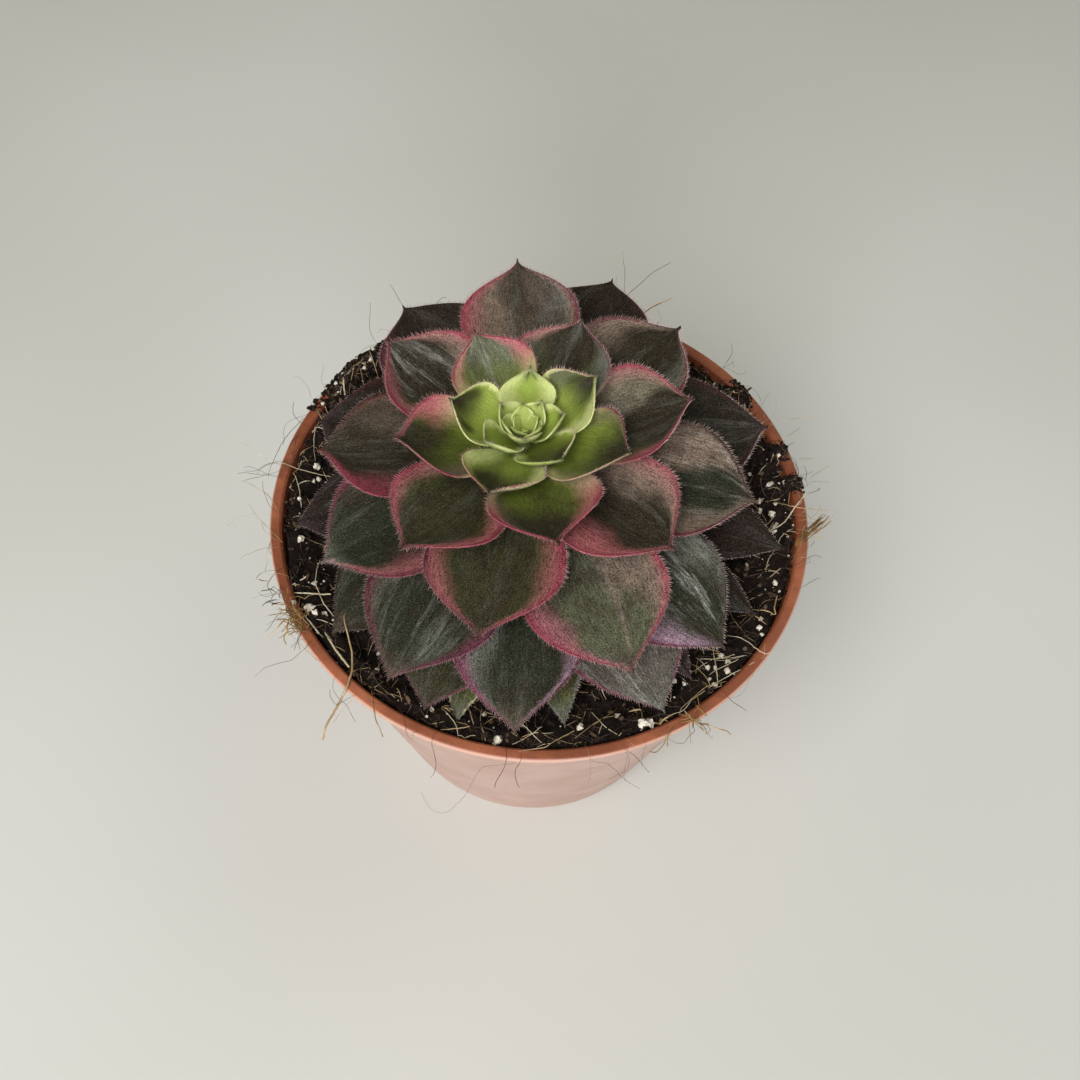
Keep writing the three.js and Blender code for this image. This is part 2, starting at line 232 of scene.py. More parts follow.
def spinProfile(points, turns):  # points are (radius, height) in mm, starting and ending on the axis
    clearSelection()
    bpy.ops.mesh.primitive_plane_add(size=mm, location=(0, 0, 0))
    piece = bpy.context.object
    bpy.ops.object.mode_set(mode="EDIT")
    bpy.ops.mesh.select_all(action="SELECT")
    bpy.ops.mesh.merge(type="CENTER")
    bpy.ops.transform.translate(value=(points[0][0] * mm, 0, points[0][1] * mm))
    for (r0, z0), (r1, z1) in zip(points, points[1:]):
        step = ((r1 - r0) * mm, 0, (z1 - z0) * mm)
        bpy.ops.mesh.extrude_region_move(TRANSFORM_OT_translate={"value": step})
    bpy.ops.mesh.select_all(action="SELECT")
    bpy.ops.mesh.spin(steps=turns, angle=2 * math.pi, center=(0, 0, 0), axis=(0, 0, 1))
    bpy.ops.mesh.select_all(action="SELECT")
    bpy.ops.mesh.remove_doubles(threshold=1e-6)
    bpy.ops.mesh.normals_make_consistent(inside=False)
    bpy.ops.object.mode_set(mode="OBJECT")
    return piece


def makePotPlastic(shape):
    # injection-moulded terracotta polypropylene: satin, its outside painted pale as painted glare of reflected light,
    # with scratches; darker and cleaner on the lip, in the plastic's own terracotta
    material, add, shader = newMaterial("moulded polypropylene, terracotta")
    coords = add("TexCoord", output="Object")
    x, y, z = add("SeparateXYZ", [coords]).node.outputs
    turning = add("TexNoise", {"Vector": add("CombineXYZ", {2: z}), "Scale": perMm(shape["lineMm"]), "Detail": 3,
                               "Roughness": 0.7})
    drawn = add("Mapping", {"Vector": coords, "Scale": (1, 1, 0.07), "Rotation": (0.35, 0.2, 0)})
    scratches = add("TexNoise", {"Vector": drawn, "Scale": perMm(shape["scratchMm"]), "Detail": 1})
    cloud = add("TexNoise", {"Vector": coords, "Scale": shape["cloudsPerM"], "Detail": 5, "Roughness": 0.6})
    grain = add("TexNoise", {"Vector": coords, "Scale": perMm(shape["grainMm"]), "Detail": 2})
    specks = add("TexVoronoi", {"Vector": coords, "Scale": perMm(shape["speckMm"])}, "Distance")
    # the outside wall: painted glare over the plastic, mottled at random, with turning lines and scratches
    wall = layTints(add, rgba(shape["wallTintPaintedGlare"]), ([cloud, 0.35, 0.65], shape["wallMottlePaintedGlare"]),
                    ([turning, 0.56, 0.7, 0, 0.16], shape["lipPale"]), ([scratches, 0.7, 0.76, 0, 0.3], shape["dirt"]))
    lip = layTints(add, rgba(shape["lip"]), ([cloud, 0.4, 0.65], shape["lipPale"]),
                   ([grain, 0.6, 0.75, 0, 0.25], shape["edge"]))

    # the lip's colour goes on over its top and down the inside
    squares = [add("Math", [side, side], operation="MULTIPLY") for side in (x, y)]
    radius = add("Math", [add("Math", squares, operation="ADD"), 0], operation="SQRT")
    onLip = add("MapRange", [z, (shape["height"] - 0.5) * mm, (shape["height"] - 0.15) * mm], **eased)
    taper = (innerRadius(shape["height"]) - innerRadius(0)) / shape["height"]
    wallMiddle = add("Math", [add("Math", [z, taper], operation="MULTIPLY"),
                              (innerRadius(0) + shape["wall"] / 2) * mm], operation="ADD")
    inCollar = add("Math", [z, (shape["height"] - shape["collarHeight"] + 0.6) * mm], operation="GREATER_THAN")
    wider = add("Math", [inCollar, shape["step"] * mm], operation="MULTIPLY")
    wallMiddle = add("Math", [wallMiddle, wider], operation="ADD")
    inside = add("Math", [radius, wallMiddle], operation="LESS_THAN")
    # painted highlight: a pale line along the rim's outer edge, in the edge colour, which also gives the lip its pale
    # flecks
    paintedRimHighlight = add("MapRange", [radius, (shape["rimRadius"] - 0.45) * mm, (shape["rimRadius"] - 0.2) * mm], **eased)
    tint = layTints(add, wall, (add("Math", [onLip, inside], operation="MAXIMUM"), lip),
                    (add("Math", [paintedRimHighlight, 0.6], operation="MULTIPLY"), shape["edge"]),
                    ([specks, 0.075, 0.04, 0, 0.7], shape["dirt"]))
    fillSockets(shader, {
        "Base Color": tint, "Roughness": add("MapRange", [cloud, 0.3, 0.7, 0.38, 0.52], **eased),
        "Normal": add("Bump", {"Height": turning, "Strength": 0.2, "Distance": 0.1 * mm}),
    })
    return material


def makePot(shape):
    wallTop = shape["height"] - shape["collarHeight"]
    floorTop = shape["recess"] + shape["floor"]
    lipInner = shape["rimRadius"] - shape["lipWidth"]
    soft = shape["rounding"]
    pot = spinProfile([
        (0, shape["recess"]),
        (shape["recessRadius"], shape["recess"]),
        (shape["recessRadius"] + soft, 0),
        (shape["footRadius"] - soft, 0),
        (shape["footRadius"], soft),
        (shape["bodyFootRadius"] - soft, shape["footBand"]),
        (shape["bodyFootRadius"], shape["footBand"] + soft),
        (shape["bodyTopRadius"], wallTop),
        (shape["rimRadius"] - shape["step"], wallTop + soft),
        (shape["rimRadius"] - soft, shape["height"] - shape["lipEdge"] - soft),
        (shape["rimRadius"], shape["height"] - shape["lipEdge"]),
        (shape["rimRadius"], shape["height"] - soft),
        (shape["rimRadius"] - soft, shape["height"]),
        (lipInner + soft, shape["height"]),
        (lipInner, shape["height"] - soft),
        (lipInner - soft / 2, wallTop + shape["step"]),
        (innerRadius(wallTop), wallTop - shape["step"]),
        (innerRadius(floorTop + shape["step"]), floorTop + shape["step"]),
        (innerRadius(floorTop) - shape["step"], floorTop),
        (0, floorTop),
    ], shape["turns"])
    for i in range(shape["drainHoles"]):
        angle = 2 * math.pi * (i + 0.5) / shape["drainHoles"]
        place = (shape["drainCircle"] * mm * math.cos(angle), shape["drainCircle"] * mm * math.sin(angle), 0)
        clearSelection()
        bpy.ops.mesh.primitive_cylinder_add(vertices=32, radius=shape["drainRadius"] * mm, depth=0.02, location=place)
        drill = bpy.context.object
        applyModifier(pot, "BOOLEAN", operation="DIFFERENCE", object=drill, solver="EXACT")
        bpy.data.objects.remove(drill)
    applyModifier(pot, "BEVEL", limit_method="ANGLE", angle_limit=math.radians(25), width=0.25 * mm, segments=3)
    pick(pot)
    bpy.ops.object.shade_smooth_by_angle(angle=math.radians(40))
    pot.data.materials.append(makePotPlastic(shape))
    finishPiece(pot, "nurseryPot", "pot_plastic", "pot")


makePot(potShape)
print("pot made")


soilShape = {
    "edgeHeight": 90.6, "middleHeight": 83.6, "dishRadius": 44, "wallTop": 90, "turns": 320,
    "edgeRise": 2.8, "riseFrom": 49, "edgeRadius": 57,
    "crumbHeight": 0.8, "crumbSpacing": 5.2, "fineHeight": 1.2, "fineSpacing": 2.4,
    "waves": [(0.92, 0.39, 0), (-0.62, 1.15, 1.7), (0.4, -0.4, 4.1)],
    "heaps": [
        {"azimuth": 142, "along": 14, "across": 4, "overhang": 0.6, "sunk": 4, "rise": 3.4},
        {"azimuth": 36, "along": 4, "across": 2.6, "overhang": -0.3, "sunk": 3, "rise": 1.2},
        {"azimuth": 18, "along": 2.4, "across": 2.2, "overhang": -0.4, "sunk": 3, "rise": 1.2},
        {"azimuth": 9, "along": 2.4, "across": 2.4, "overhang": 0.2, "sunk": 3, "rise": 1.4},
    ],
    "lumpSize": 2.2, "lumpHeight": 1.4, "gap": 0.3, "underLip": 0.4, "lumpsPerM": 420, "fibreMm": 0.625, "rings": 60,
    "peatDark": "#0f0907", "peat": "#1e130e", "peatPale": "#33251c", "dryCrumb": "#2f2118", "paleCrumb": "#655443",
}


def soilHeight(x, y):
    shape = soilShape
    share = min(1, math.hypot(x, y) / shape["dishRadius"])
    k = 2 * math.pi / shape["crumbSpacing"]
    relief = sum(math.sin(k * (a * x + b * y) + phase) for a, b, phase in shape["waves"]) / 3
    banked = shape["edgeRise"] * float(smooth(shape["riseFrom"], shape["edgeRadius"] - 2, math.hypot(x, y)))
    return (shape["middleHeight"] + (shape["edgeHeight"] - shape["middleHeight"]) * share ** 4 + banked
            + shape["crumbHeight"] * relief)


def fineHeight(x, y):
    s = soilShape["fineSpacing"]
    value = noise.fractal(Vector((x / s, y / s, 3.1)), 0.9, 2.1, 4)
    return soilShape["fineHeight"] * value


def heapTop(x, y):  # height of the spilled soil at a place, or None where there is none
    best = None
    for heap in soilShape["heaps"]:
        turn = (math.degrees(math.atan2(y, x)) - heap["azimuth"] + 180) % 360 - 180
        v = math.radians(turn) * potShape["rimRadius"] / heap["along"]
        middle = potShape["rimRadius"] + heap["overhang"] - heap["across"]
        u = (math.hypot(x, y) - middle) / heap["across"]
        left = 1 - u * u - v * v
        if left > 0:
            top = potShape["height"] - heap["sunk"] + (heap["sunk"] + heap["rise"]) * math.sqrt(left)
            if math.hypot(x, y) > soilShape["edgeRadius"] - soilShape["underLip"]:
                top = max(top, potShape["height"] - soilShape["underLip"])
            best = top if best is None else max(best, top)
    return best


def groundHeight(x, y):
    radius = math.hypot(x, y)
    if radius < soilShape["edgeRadius"] + 0.3:
        ground = soilHeight(x, y) + fineHeight(x, y)
    elif radius < potShape["rimRadius"] + 0.1:
        ground = potShape["height"]
    else:
        ground = 0
    top = heapTop(x, y)
    return ground if top is None else max(ground, top)


def makePeat(shape, name, byCrumb):
    # milled black peat: near black and dull, with brown fibres in it and drier crumbs that are paler
    material, add, shader = newMaterial(name)
    coords = add("TexCoord", output="Object")
    lumps = add("TexNoise", {"Vector": coords, "Scale": shape["lumpsPerM"], "Detail": 5, "Roughness": 0.65})
    fibres = add("TexNoise", {"Vector": coords, "Scale": perMm(shape["fibreMm"]), "Detail": 3, "Distortion": 1.5})
    tint = layTints(add, rgba(shape["peatDark"]), ([lumps, 0.4, 0.65], shape["peat"]),
                    ([fibres, 0.58, 0.72, 0, 0.8], shape["peatPale"]))
    if byCrumb:
        tone = add("Attribute", output="Fac", attribute_name="tone")
        tint = layTints(add, tint, ([tone, 0.55, 0.8, 0, 0.8], shape["dryCrumb"]),
                        ([tone, 0.86, 0.99, 0, 0.8], shape["paleCrumb"]))
    fillSockets(shader, {"Base Color": tint, "Roughness": 0.92, "Specular IOR Level": 0.25,
                         "Normal": add("Bump", {"Height": fibres, "Strength": 0.7, "Distance": 0.4 * mm})})
    return material


def makeSoil(shape):
    bottom = potShape["recess"] + potShape["floor"] + shape["gap"]
    outer = shape["edgeRadius"]
    edgeFoot = shape["wallTop"] + potShape["step"]
    rings = [outer * (i / shape["rings"]) ** 0.75 for i in range(shape["rings"] + 1)]
    profile = [(0, bottom), (innerRadius(bottom) - potShape["step"] - shape["gap"], bottom),
               (innerRadius(bottom + potShape["step"]) - shape["gap"], bottom + potShape["step"]),
               (innerRadius(shape["wallTop"]) - shape["gap"], shape["wallTop"] - potShape["step"])]
    profile += [(r, edgeFoot) for r in reversed(rings)]
    bed = spinProfile(profile, shape["turns"])
    for vertex in bed.data.vertices:
        x, y, z = vertex.co / mm
        if z > edgeFoot - 0.01 and math.hypot(x, y) < outer - 0.05:
            vertex.co.z = (soilHeight(x, y) + fineHeight(x, y)) * mm
    lumps = [bed]
    for heap in shape["heaps"]:
        clearSelection()
        bpy.ops.mesh.primitive_ico_sphere_add(subdivisions=6, radius=1, location=(0, 0, 0))
        lump = bpy.context.object
        for vertex in lump.data.vertices:
            a, b, c = vertex.co
            angle = math.radians(heap["azimuth"]) + heap["along"] * b / potShape["rimRadius"]
            radius = potShape["rimRadius"] + heap["overhang"] - heap["across"] * (1 - a)
            x, y = radius * math.cos(angle), radius * math.sin(angle)
            z = potShape["height"] - heap["sunk"] + (heap["sunk"] + heap["rise"]) * c
            s = shape["lumpSize"]
            bumpy = shape["lumpHeight"] * noise.fractal(Vector((x / s, y / s, z / s)), 0.9, 2.1, 4)
            onLip = radius > outer - shape["underLip"]
            z = max(z, potShape["height"] - shape["underLip"] if onLip else edgeFoot)  # keeps inside the pot's wall
            vertex.co = Vector((x, y, z + max(-0.3, bumpy))) * mm
        lumps.append(lump)
    joinPieces(*lumps)
    bpy.ops.object.shade_smooth()
    bed.data.materials.append(makePeat(shape, "peat, wet and crumbly", False))
    finishPiece(bed, "peatBed", "peat_soil", "soil")


makeSoil(soilShape)
print("soil bed made")


def meshArrays(piece):  # takes a modelled piece apart into points and faces, and removes it
    points = np.array([v.co for v in piece.data.vertices], float)
    faces = [tuple(p.vertices) for p in piece.data.polygons]
    bpy.data.objects.remove(piece)
    return points, faces


def modelCrumb(seed, subdivisions, roughness):
    clearSelection()
    bpy.ops.mesh.primitive_ico_sphere_add(subdivisions=subdivisions, radius=1, location=(0, 0, 0))
    crumb = bpy.context.object
    for vertex in crumb.data.vertices:
        vertex.co *= 1 + roughness * noise.noise(vertex.co * 1.7 + Vector((seed, 0, 0)))
    return meshArrays(crumb)


def modelChip():
    clearSelection()
    bpy.ops.mesh.primitive_cube_add(size=2, location=(0, 0, 0))
    bpy.ops.object.mode_set(mode="EDIT")
    bpy.ops.mesh.select_all(action="SELECT")
    bpy.ops.mesh.bevel(offset=0.5, segments=1)
    bpy.ops.object.mode_set(mode="OBJECT")
    return meshArrays(bpy.context.object)


def setFloats(mesh, name, values):
    attribute = mesh.attributes.new(name, "FLOAT", "POINT")
    attribute.data.foreach_set("value", np.asarray(values, np.float32))


def copiesMesh(name, shapes, places):  # each copy: which shape, its place, its size along three axes and its turn
    points, faces, tones, start = [], [], [], 0
    for which, place, size, turn in places:
        shapePoints, shapeFaces = shapes[which % len(shapes)]
        moved = (shapePoints * size) @ turn.T + place
        points.append(moved * mm)
        faces += [tuple(i + start for i in face) for face in shapeFaces]
        tones += [(37 * place[0] + 91 * place[1]) % 1] * len(moved)
        start += len(moved)
    mesh = bpy.data.meshes.new(name)
    mesh.from_pydata(np.concatenate(points).tolist(), [], faces)
    setFloats(mesh, "tone", tones)
    mesh.update()
    piece = bpy.data.objects.new(name, mesh)
    bpy.context.scene.collection.objects.link(piece)
    return piece


def anyTurn(rng):
    q = rng.normal(size=4)
    q /= np.linalg.norm(q)
    w, x, y, z = q
    return np.array([[1 - 2 * (y * y + z * z), 2 * (x * y - z * w), 2 * (x * z + y * w)],
                     [2 * (x * y + z * w), 1 - 2 * (x * x + z * z), 2 * (y * z - x * w)],
                     [2 * (x * z - y * w), 2 * (y * z + x * w), 1 - 2 * (x * x + y * y)]])


looseLook = {
    "crumbs": {"count": 9000, "smallest": 0.16, "largest": 0.8, "rarity": 3, "inner": 33, "seed": 3},
    "perlite": {"count": 330, "smallest": 0.15, "largest": 0.65, "rarity": 2.2, "inner": 36, "seed": 5},
    "chips": {"count": 90, "inner": 33, "lift": 0.35, "seed": 9},
    "heapShare": 0.14, "heapPick": [0.74, 0.1, 0.07, 0.09],
    "perliteTint": "#e4dccb", "perliteShade": "#b3a692", "poresPerM": 3000, "stainsPerM": 700,
    "chipTint": "#3d2a1d", "chipPale": "#6e553c", "patchMm": 2,
    # single grains that show in the photograph: x, y and size in mm
    "grains": [(52, -16.2, 0.7), (48.4, -25.4, 0.6), (39.5, -34.2, 0.6), (40.5, -38.1, 0.7), (37.9, -40.9, 0.6),
               (36.7, -37, 0.6), (47.6, -27.8, 0.6), (40.8, -35.7, 0.6), (-47.1, -28.9, 0.9), (-48.3, -28.2, 0.8),
               (-46.2, -29.8, 0.7), (-44.7, -29.2, 0.7), (-50.8, -28.1, 0.5), (-6, -55.4, 1.2), (22.8, -51, 1.1),
               (24.4, -50.4, 1), (10.3, -51.7, 0.8), (-52.3, -11.5, 0.8), (-50.5, -2.5, 0.6), (-54, -1.5, 0.5),
               (-51.8, 8.2, 0.8), (-51, 5, 0.6), (52.6, 9.5, 0.8), (50.2, 5.8, 0.7), (50, 3.2, 0.7), (52.4, 1.6, 0.8),
               (53.2, -1.2, 0.6), (47.4, 1.4, 0.6)],
}


def loosePlace(rng, inner):
    if rng.random() < looseLook["heapShare"]:
        heap = soilShape["heaps"][rng.choice(4, p=looseLook["heapPick"])]
        angle = math.radians(heap["azimuth"] + heap["along"] * max(-1.1, min(1.1, rng.normal() * 0.6)))
        radius = potShape["rimRadius"] + heap["overhang"] - abs(rng.normal()) * heap["across"] * 1.1
    else:
        angle = rng.uniform(0, 2 * math.pi)
        radius = math.sqrt(rng.uniform(inner ** 2, (soilShape["edgeRadius"] + 0.2) ** 2))
    x, y = radius * math.cos(angle), radius * math.sin(angle)
    return (x, y) if groundHeight(x, y) > 0 else loosePlace(rng, inner)  # nothing lies beside the pot


def makePerlite(look):
    # expanded volcanic glass: white, matte and full of small pores
    material, add, shader = newMaterial("expanded perlite")
    coords = add("TexCoord", output="Object")
    pores = add("TexVoronoi", {"Vector": coords, "Scale": look["poresPerM"]}, "Distance")
    stain = add("TexNoise", {"Vector": coords, "Scale": look["stainsPerM"], "Detail": 3})
    tint = layTints(add, rgba(look["perliteTint"]), ([stain, 0.45, 0.7, 0, 0.9], look["perliteShade"]))
    fillSockets(shader, {"Base Color": tint, "Roughness": 0.85,
                         "Normal": add("Bump", {"Height": pores, "Strength": 0.6, "Distance": 0.2 * mm})})
    return material


def makeBark(look):
    # composted bark and coir: brown to tan, dull and fibrous
    material, add, shader = newMaterial("composted bark")
    patch = add("TexNoise", {"Vector": add("TexCoord", output="Object"), "Scale": perMm(look["patchMm"]), "Detail": 2})
    tone = add("Attribute", output="Fac", attribute_name="tone")
    share = add("Math", [add("Math", [patch, 0.4], operation="MULTIPLY"),
                         add("Math", [tone, 0.6], operation="MULTIPLY")], operation="ADD")
    tint = layTints(add, rgba(look["chipTint"]), ([share, 0.3, 0.85], look["chipPale"]))
    fillSockets(shader, {"Base Color": tint, "Roughness": 0.85})
    return material


def looseSpots(rng, look):
    for _ in range(look["count"]):
        x, y = loosePlace(rng, look["inner"])
        yield x, y, look["smallest"] + rng.random() ** look["rarity"] * (look["largest"] - look["smallest"])


def lumpPlaces(rng, spots, lift, broad, high):  # broad and high are ranges, as shares of the length
    return [(i, np.array([x, y, groundHeight(x, y) + lift * size]),
             np.array([1, rng.uniform(*broad), rng.uniform(*high)]) * size, anyTurn(rng))
            for i, (x, y, size) in enumerate(spots)]


def scatterLoose(look):
    crumbShapes = [modelCrumb(seed, 1, 0.9) for seed in range(4)]
    grainShapes = [modelCrumb(seed + 20, 2, 0.75) for seed in range(5)]
    chipShape = modelChip()

    rng = np.random.default_rng(look["crumbs"]["seed"])
    places = lumpPlaces(rng, looseSpots(rng, look["crumbs"]), 0.25, (0.6, 1), (0.5, 0.9))
    crumbs = copiesMesh("peatCrumbs", crumbShapes, places)
    crumbs.data.materials.append(makePeat(soilShape, "peat crumbs, half dry", True))
    finishPiece(crumbs, "peatCrumbs", "peat_soil")

    rng = np.random.default_rng(look["perlite"]["seed"])
    places = lumpPlaces(rng, looseSpots(rng, look["perlite"]), 0.35, (0.7, 1), (0.6, 0.95))
    places += lumpPlaces(rng, look["grains"], 0.5, (0.75, 1), (0.7, 0.95))
    grains = copiesMesh("perliteGrains", grainShapes, places)
    pick(grains)
    bpy.ops.object.shade_smooth_by_angle(angle=math.radians(35))
    grains.data.materials.append(makePerlite(look))
    finishPiece(grains, "perliteGrains", "peat_soil")

    rng = np.random.default_rng(look["chips"]["seed"])
    places = []
    for _ in range(look["chips"]["count"]):
        x, y = loosePlace(rng, look["chips"]["inner"])
        size = np.array([rng.uniform(0.5, 1.7), rng.uniform(0.2, 0.45), rng.uniform(0.1, 0.2)])
        tilt = Matrix.Rotation(rng.uniform(0, 2 * math.pi), 3, "Z") @ Matrix.Rotation(rng.normal() * 0.35, 3, "Y")
        places.append((0, np.array([x, y, groundHeight(x, y) + look["chips"]["lift"]]), size, np.array(tilt)))
    chips = copiesMesh("barkChips", [chipShape], places)
    chips.data.materials.append(makeBark(look))
    finishPiece(chips, "barkChips", "peat_soil")


scatterLoose(looseLook)
print("loose soil scattered")


headShape = {"x": -4.3, "y": 7.5, "leanX": 0.087, "leanY": 0.014, "firstAzimuth": 82.5, "divergence": 137.5,
             "youngest": -3, "oldest": 38, "remnants": [40, 43, 48, 51, 56],
             "slots": [("leaf_young", 6), ("leaf_mature", 26)],  # up to which leaf
             "backFromRank": 26, "backReach": 42, "backWidthShare": 0.8}

stemShape = {"foot": 74, "footRadius": 7.6, "collar": 84, "shoulder": 87, "shoulderRadius": 7,
             "top": 108.6, "topRadius": 1.6, "turns": 48, "gap": 0.3,
             "barkTop": 88, "greenFrom": 104, "scarsPerM": 160,
             "bark": "#5d4a33", "green": "#6f7a45", "scar": "#3a2c20"}

bladeShape = {"rootShare": 0.19, "shoulder": 1.25, "rootHandle": 0.38, "tipHandle": 0.36, "tipCrowding": 0.45,
              "taper": 0.35, "edgeThickness": 0.3, "tipHalfWidth": 0.08, "steps": (54, 28), "smallSteps": (36, 20),
              "smallBelow": 3}

# stops of rank and value, straight between them; the ranks below -3 are in the bud
leafRules = {
    "reach": [[-14, 1.4], [-9, 3.3], [-3, 6.4], [2, 16.6], [8, 30], [15, 45], [22, 55], [30, 59], [45, 61]],
    "tipHeight": [[-14, 114.4], [-9, 116], [-3, 117.4], [2, 118.5], [8, 118], [15, 110], [22, 101], [36, 94],
                  [50, 92.6]],
    "restHeight": [[22, 96.5], [30, 94.6], [40, 92.8], [56, 92.2]],
    "rootHeight": [[-14, 111], [-9, 110.5], [0, 107.6], [10, 103.6], [20, 99.6], [30, 96], [40, 92.6], [56, 88.4]],
    "width": [[-14, 2.2], [-9, 4.6], [-3, 8.4], [2, 17], [8, 24], [15, 29], [22, 31], [30, 28], [56, 23]],
    "rootRise": [[-9, 74], [-3, 64], [2, 44], [8, 30], [15, 20], [22, 12], [36, 5]],
    "tipRise": [[-3, 82], [2, 58], [8, 30], [15, 6], [22, -8], [36, -10]],
    "cup": [[-14, 26], [-9, 32], [-3, 54], [2, 44], [8, 32], [15, 22], [22, 14], [30, 8], [56, 6]],
    "widestAt": [[-9, 0.56], [2, 0.6], [15, 0.65]],
    "ogee": [[-9, 0.9], [15, 0.8], [30, 0.35]],
    "core": [[-9, 0.8], [0, 0.95], [12, 1.4], [30, 1.5]],
    "wave": [[-9, 0.02], [2, 0.15], [8, 0.4], [30, 0.6]],
    "crease": [[-9, 0], [2, 0.15], [10, 0.4], [30, 0.35]],
    "hairLength": [[-14, 0.1], [-9, 0.2], [-3, 0.6], [2, 0.95], [8, 1.1], [25, 1.05], [40, 0.6]],
    "limeReach": [[-9, 1.5], [-3, 1.08], [0, 0.9], [2, 0.74], [4, 0.6], [6, 0.52], [9, 0.38], [12, 0.24], [16, 0.05]],
    "band": [[-9, 0.15], [-4, 0.25], [-3, 0.6], [0, 1.2], [3, 1.3], [6, 1.6], [12, 1.8], [30, 1.8], [38, 1.2],
             [56, 0.8]],
    "flushMm": [[-9, 0.5], [-3, 1.6], [0, 2.4], [3, 2.8], [6, 3.4], [12, 4], [20, 4], [30, 3.4], [38, 2], [56, 1]],
    "streakAndSheenShare": [[-9, 0.05], [0, 0.15], [4, 0.3], [10, 0.45], [25, 0.6], [38, 0.5]],
    "velvet": [[-9, 0.2], [2, 0.4], [5, 0.65], [9, 0.9], [20, 1]],
}

# where single leaves depart from the rules: degrees and mm
offRule = {
    -3: {"turn": 13}, -2: {"turn": 5}, 0: {"turn": 5}, 3: {"turn": 3, "reach": -1},
    5: {"turn": 4, "reach": 2, "rise": 0.6}, 6: {"turn": -2, "reach": -1}, 7: {"turn": -7},
    8: {"turn": 4, "reach": -1, "rise": -1}, 10: {"turn": -2, "reach": 5}, 13: {"reach": 7, "rise": 2},
    15: {"turn": 5}, 17: {"turn": -3}, 18: {"reach": 2}, 19: {"turn": -5, "reach": 1},
    20: {"turn": 2, "reach": -2}, 21: {"turn": -5, "reach": 2}, 22: {"turn": -2, "reach": 2},
    23: {"turn": 7, "reach": -6, "rise": -3}, 24: {"turn": -11, "rise": -2}, 25: {"reach": 2},
    27: {"turn": -15, "reach": 4, "rise": -2}, 28: {"turn": 6, "reach": -6, "rise": -2, "width": -7},
    30: {"turn": -6, "reach": 4, "rise": 0.4}, 31: {"turn": -6, "width": -4},
    33: {"turn": 3, "reach": -3, "width": -2}, 35: {"turn": -11, "reach": 5}, 36: {"width": -6},
    38: {"turn": -4, "width": 2}, 40: {"width": -7}, 43: {"turn": -9, "width": -12},
    48: {"turn": 4, "width": -10}, 51: {"turn": -10, "width": -11}, 56: {"turn": 5, "width": -8},
}

leafPaint = {
    "paleLime": "#d3db92", "lime": "#94a648", "deepLime": "#6a782a", "olive": "#4c4f2a", "moss": "#34341c",
    "sage": "#5f634a", "bottle": "#222719", "umber": "#292417", "black": "#19160f", "dusk": "#52463a",
    "stone": "#58534d", "taupe": "#7d6c5f", "ash": "#62635a", "silver": "#b4b5ad", "cream": "#d8cf9e",
    "peach": "#c08a7e", "coral": "#b5676c", "crimson": "#8d3a4a", "garnet": "#6c303e", "wine": "#50222e",
    "mauve": "#683647", "lavender": "#947888", "plum": "#2a1e20", "fresh": "#abba66", "khaki": "#8d8550",
    "sand": "#b0917a", "clay": "#976c66", "rose": "#96595b", "russet": "#5f3a30", "maroon": "#351b1a",
    "soot": "#1d110e", "fern": "#525540", "drab": "#716a59", "heather": "#7a4f64", "pink": "#a1606a",
}

# which colour each zone of a leaf has at which rank, mixed between the stops
leafZones = {
    "base": [[-3, "fresh"], [0, "lime"], [4, "lime"], [7, "deepLime"], [10, "olive"], [14, "moss"],
             [56, "umber"]],
    "middle": [[-9, "fresh"], [-3, "lime"], [-1, "lime"], [2, "olive"], [5, "moss"], [10, "umber"], [15, "umber"],
               [20, "bottle"], [30, "bottle"], [45, "black"]],
    "blush": [[-9, "paleLime"], [1, "lime"], [4, "deepLime"], [7, "taupe"], [10, "dusk"], [20, "dusk"],
              [26, "ash"], [38, "ash"], [56, "plum"]],
    "flush": [[-4, "fresh"], [1, "paleLime"], [4, "cream"], [6, "peach"], [9, "coral"], [14, "coral"],
              [18, "taupe"], [24, "taupe"], [30, "mauve"], [38, "dusk"], [56, "plum"]],
    # the streak colour is partly the leaf's own pale streaks and partly painted sheen: grey and silver where light
    # glances off the velvet
    "streakAndSheen": [[-9, "paleLime"], [2, "lime"], [5, "ash"], [30, "ash"], [56, "plum"]],
    "margin": [[-4, "lime"], [0, "paleLime"], [2, "cream"], [4, "coral"], [6, "crimson"], [14, "crimson"],
               [16, "garnet"], [22, "garnet"], [25, "mauve"], [38, "mauve"], [56, "plum"]],
    "root": [[4, "paleLime"], [8, "cream"], [13, "peach"], [17, "coral"], [22, "crimson"],
             [56, "plum"]],
    "tip": [[-9, "lime"], [-6, "deepLime"], [-4, "drab"], [-1, "drab"], [2, "umber"], [16, "umber"], [24, "dusk"],
            [56, "plum"]],
}

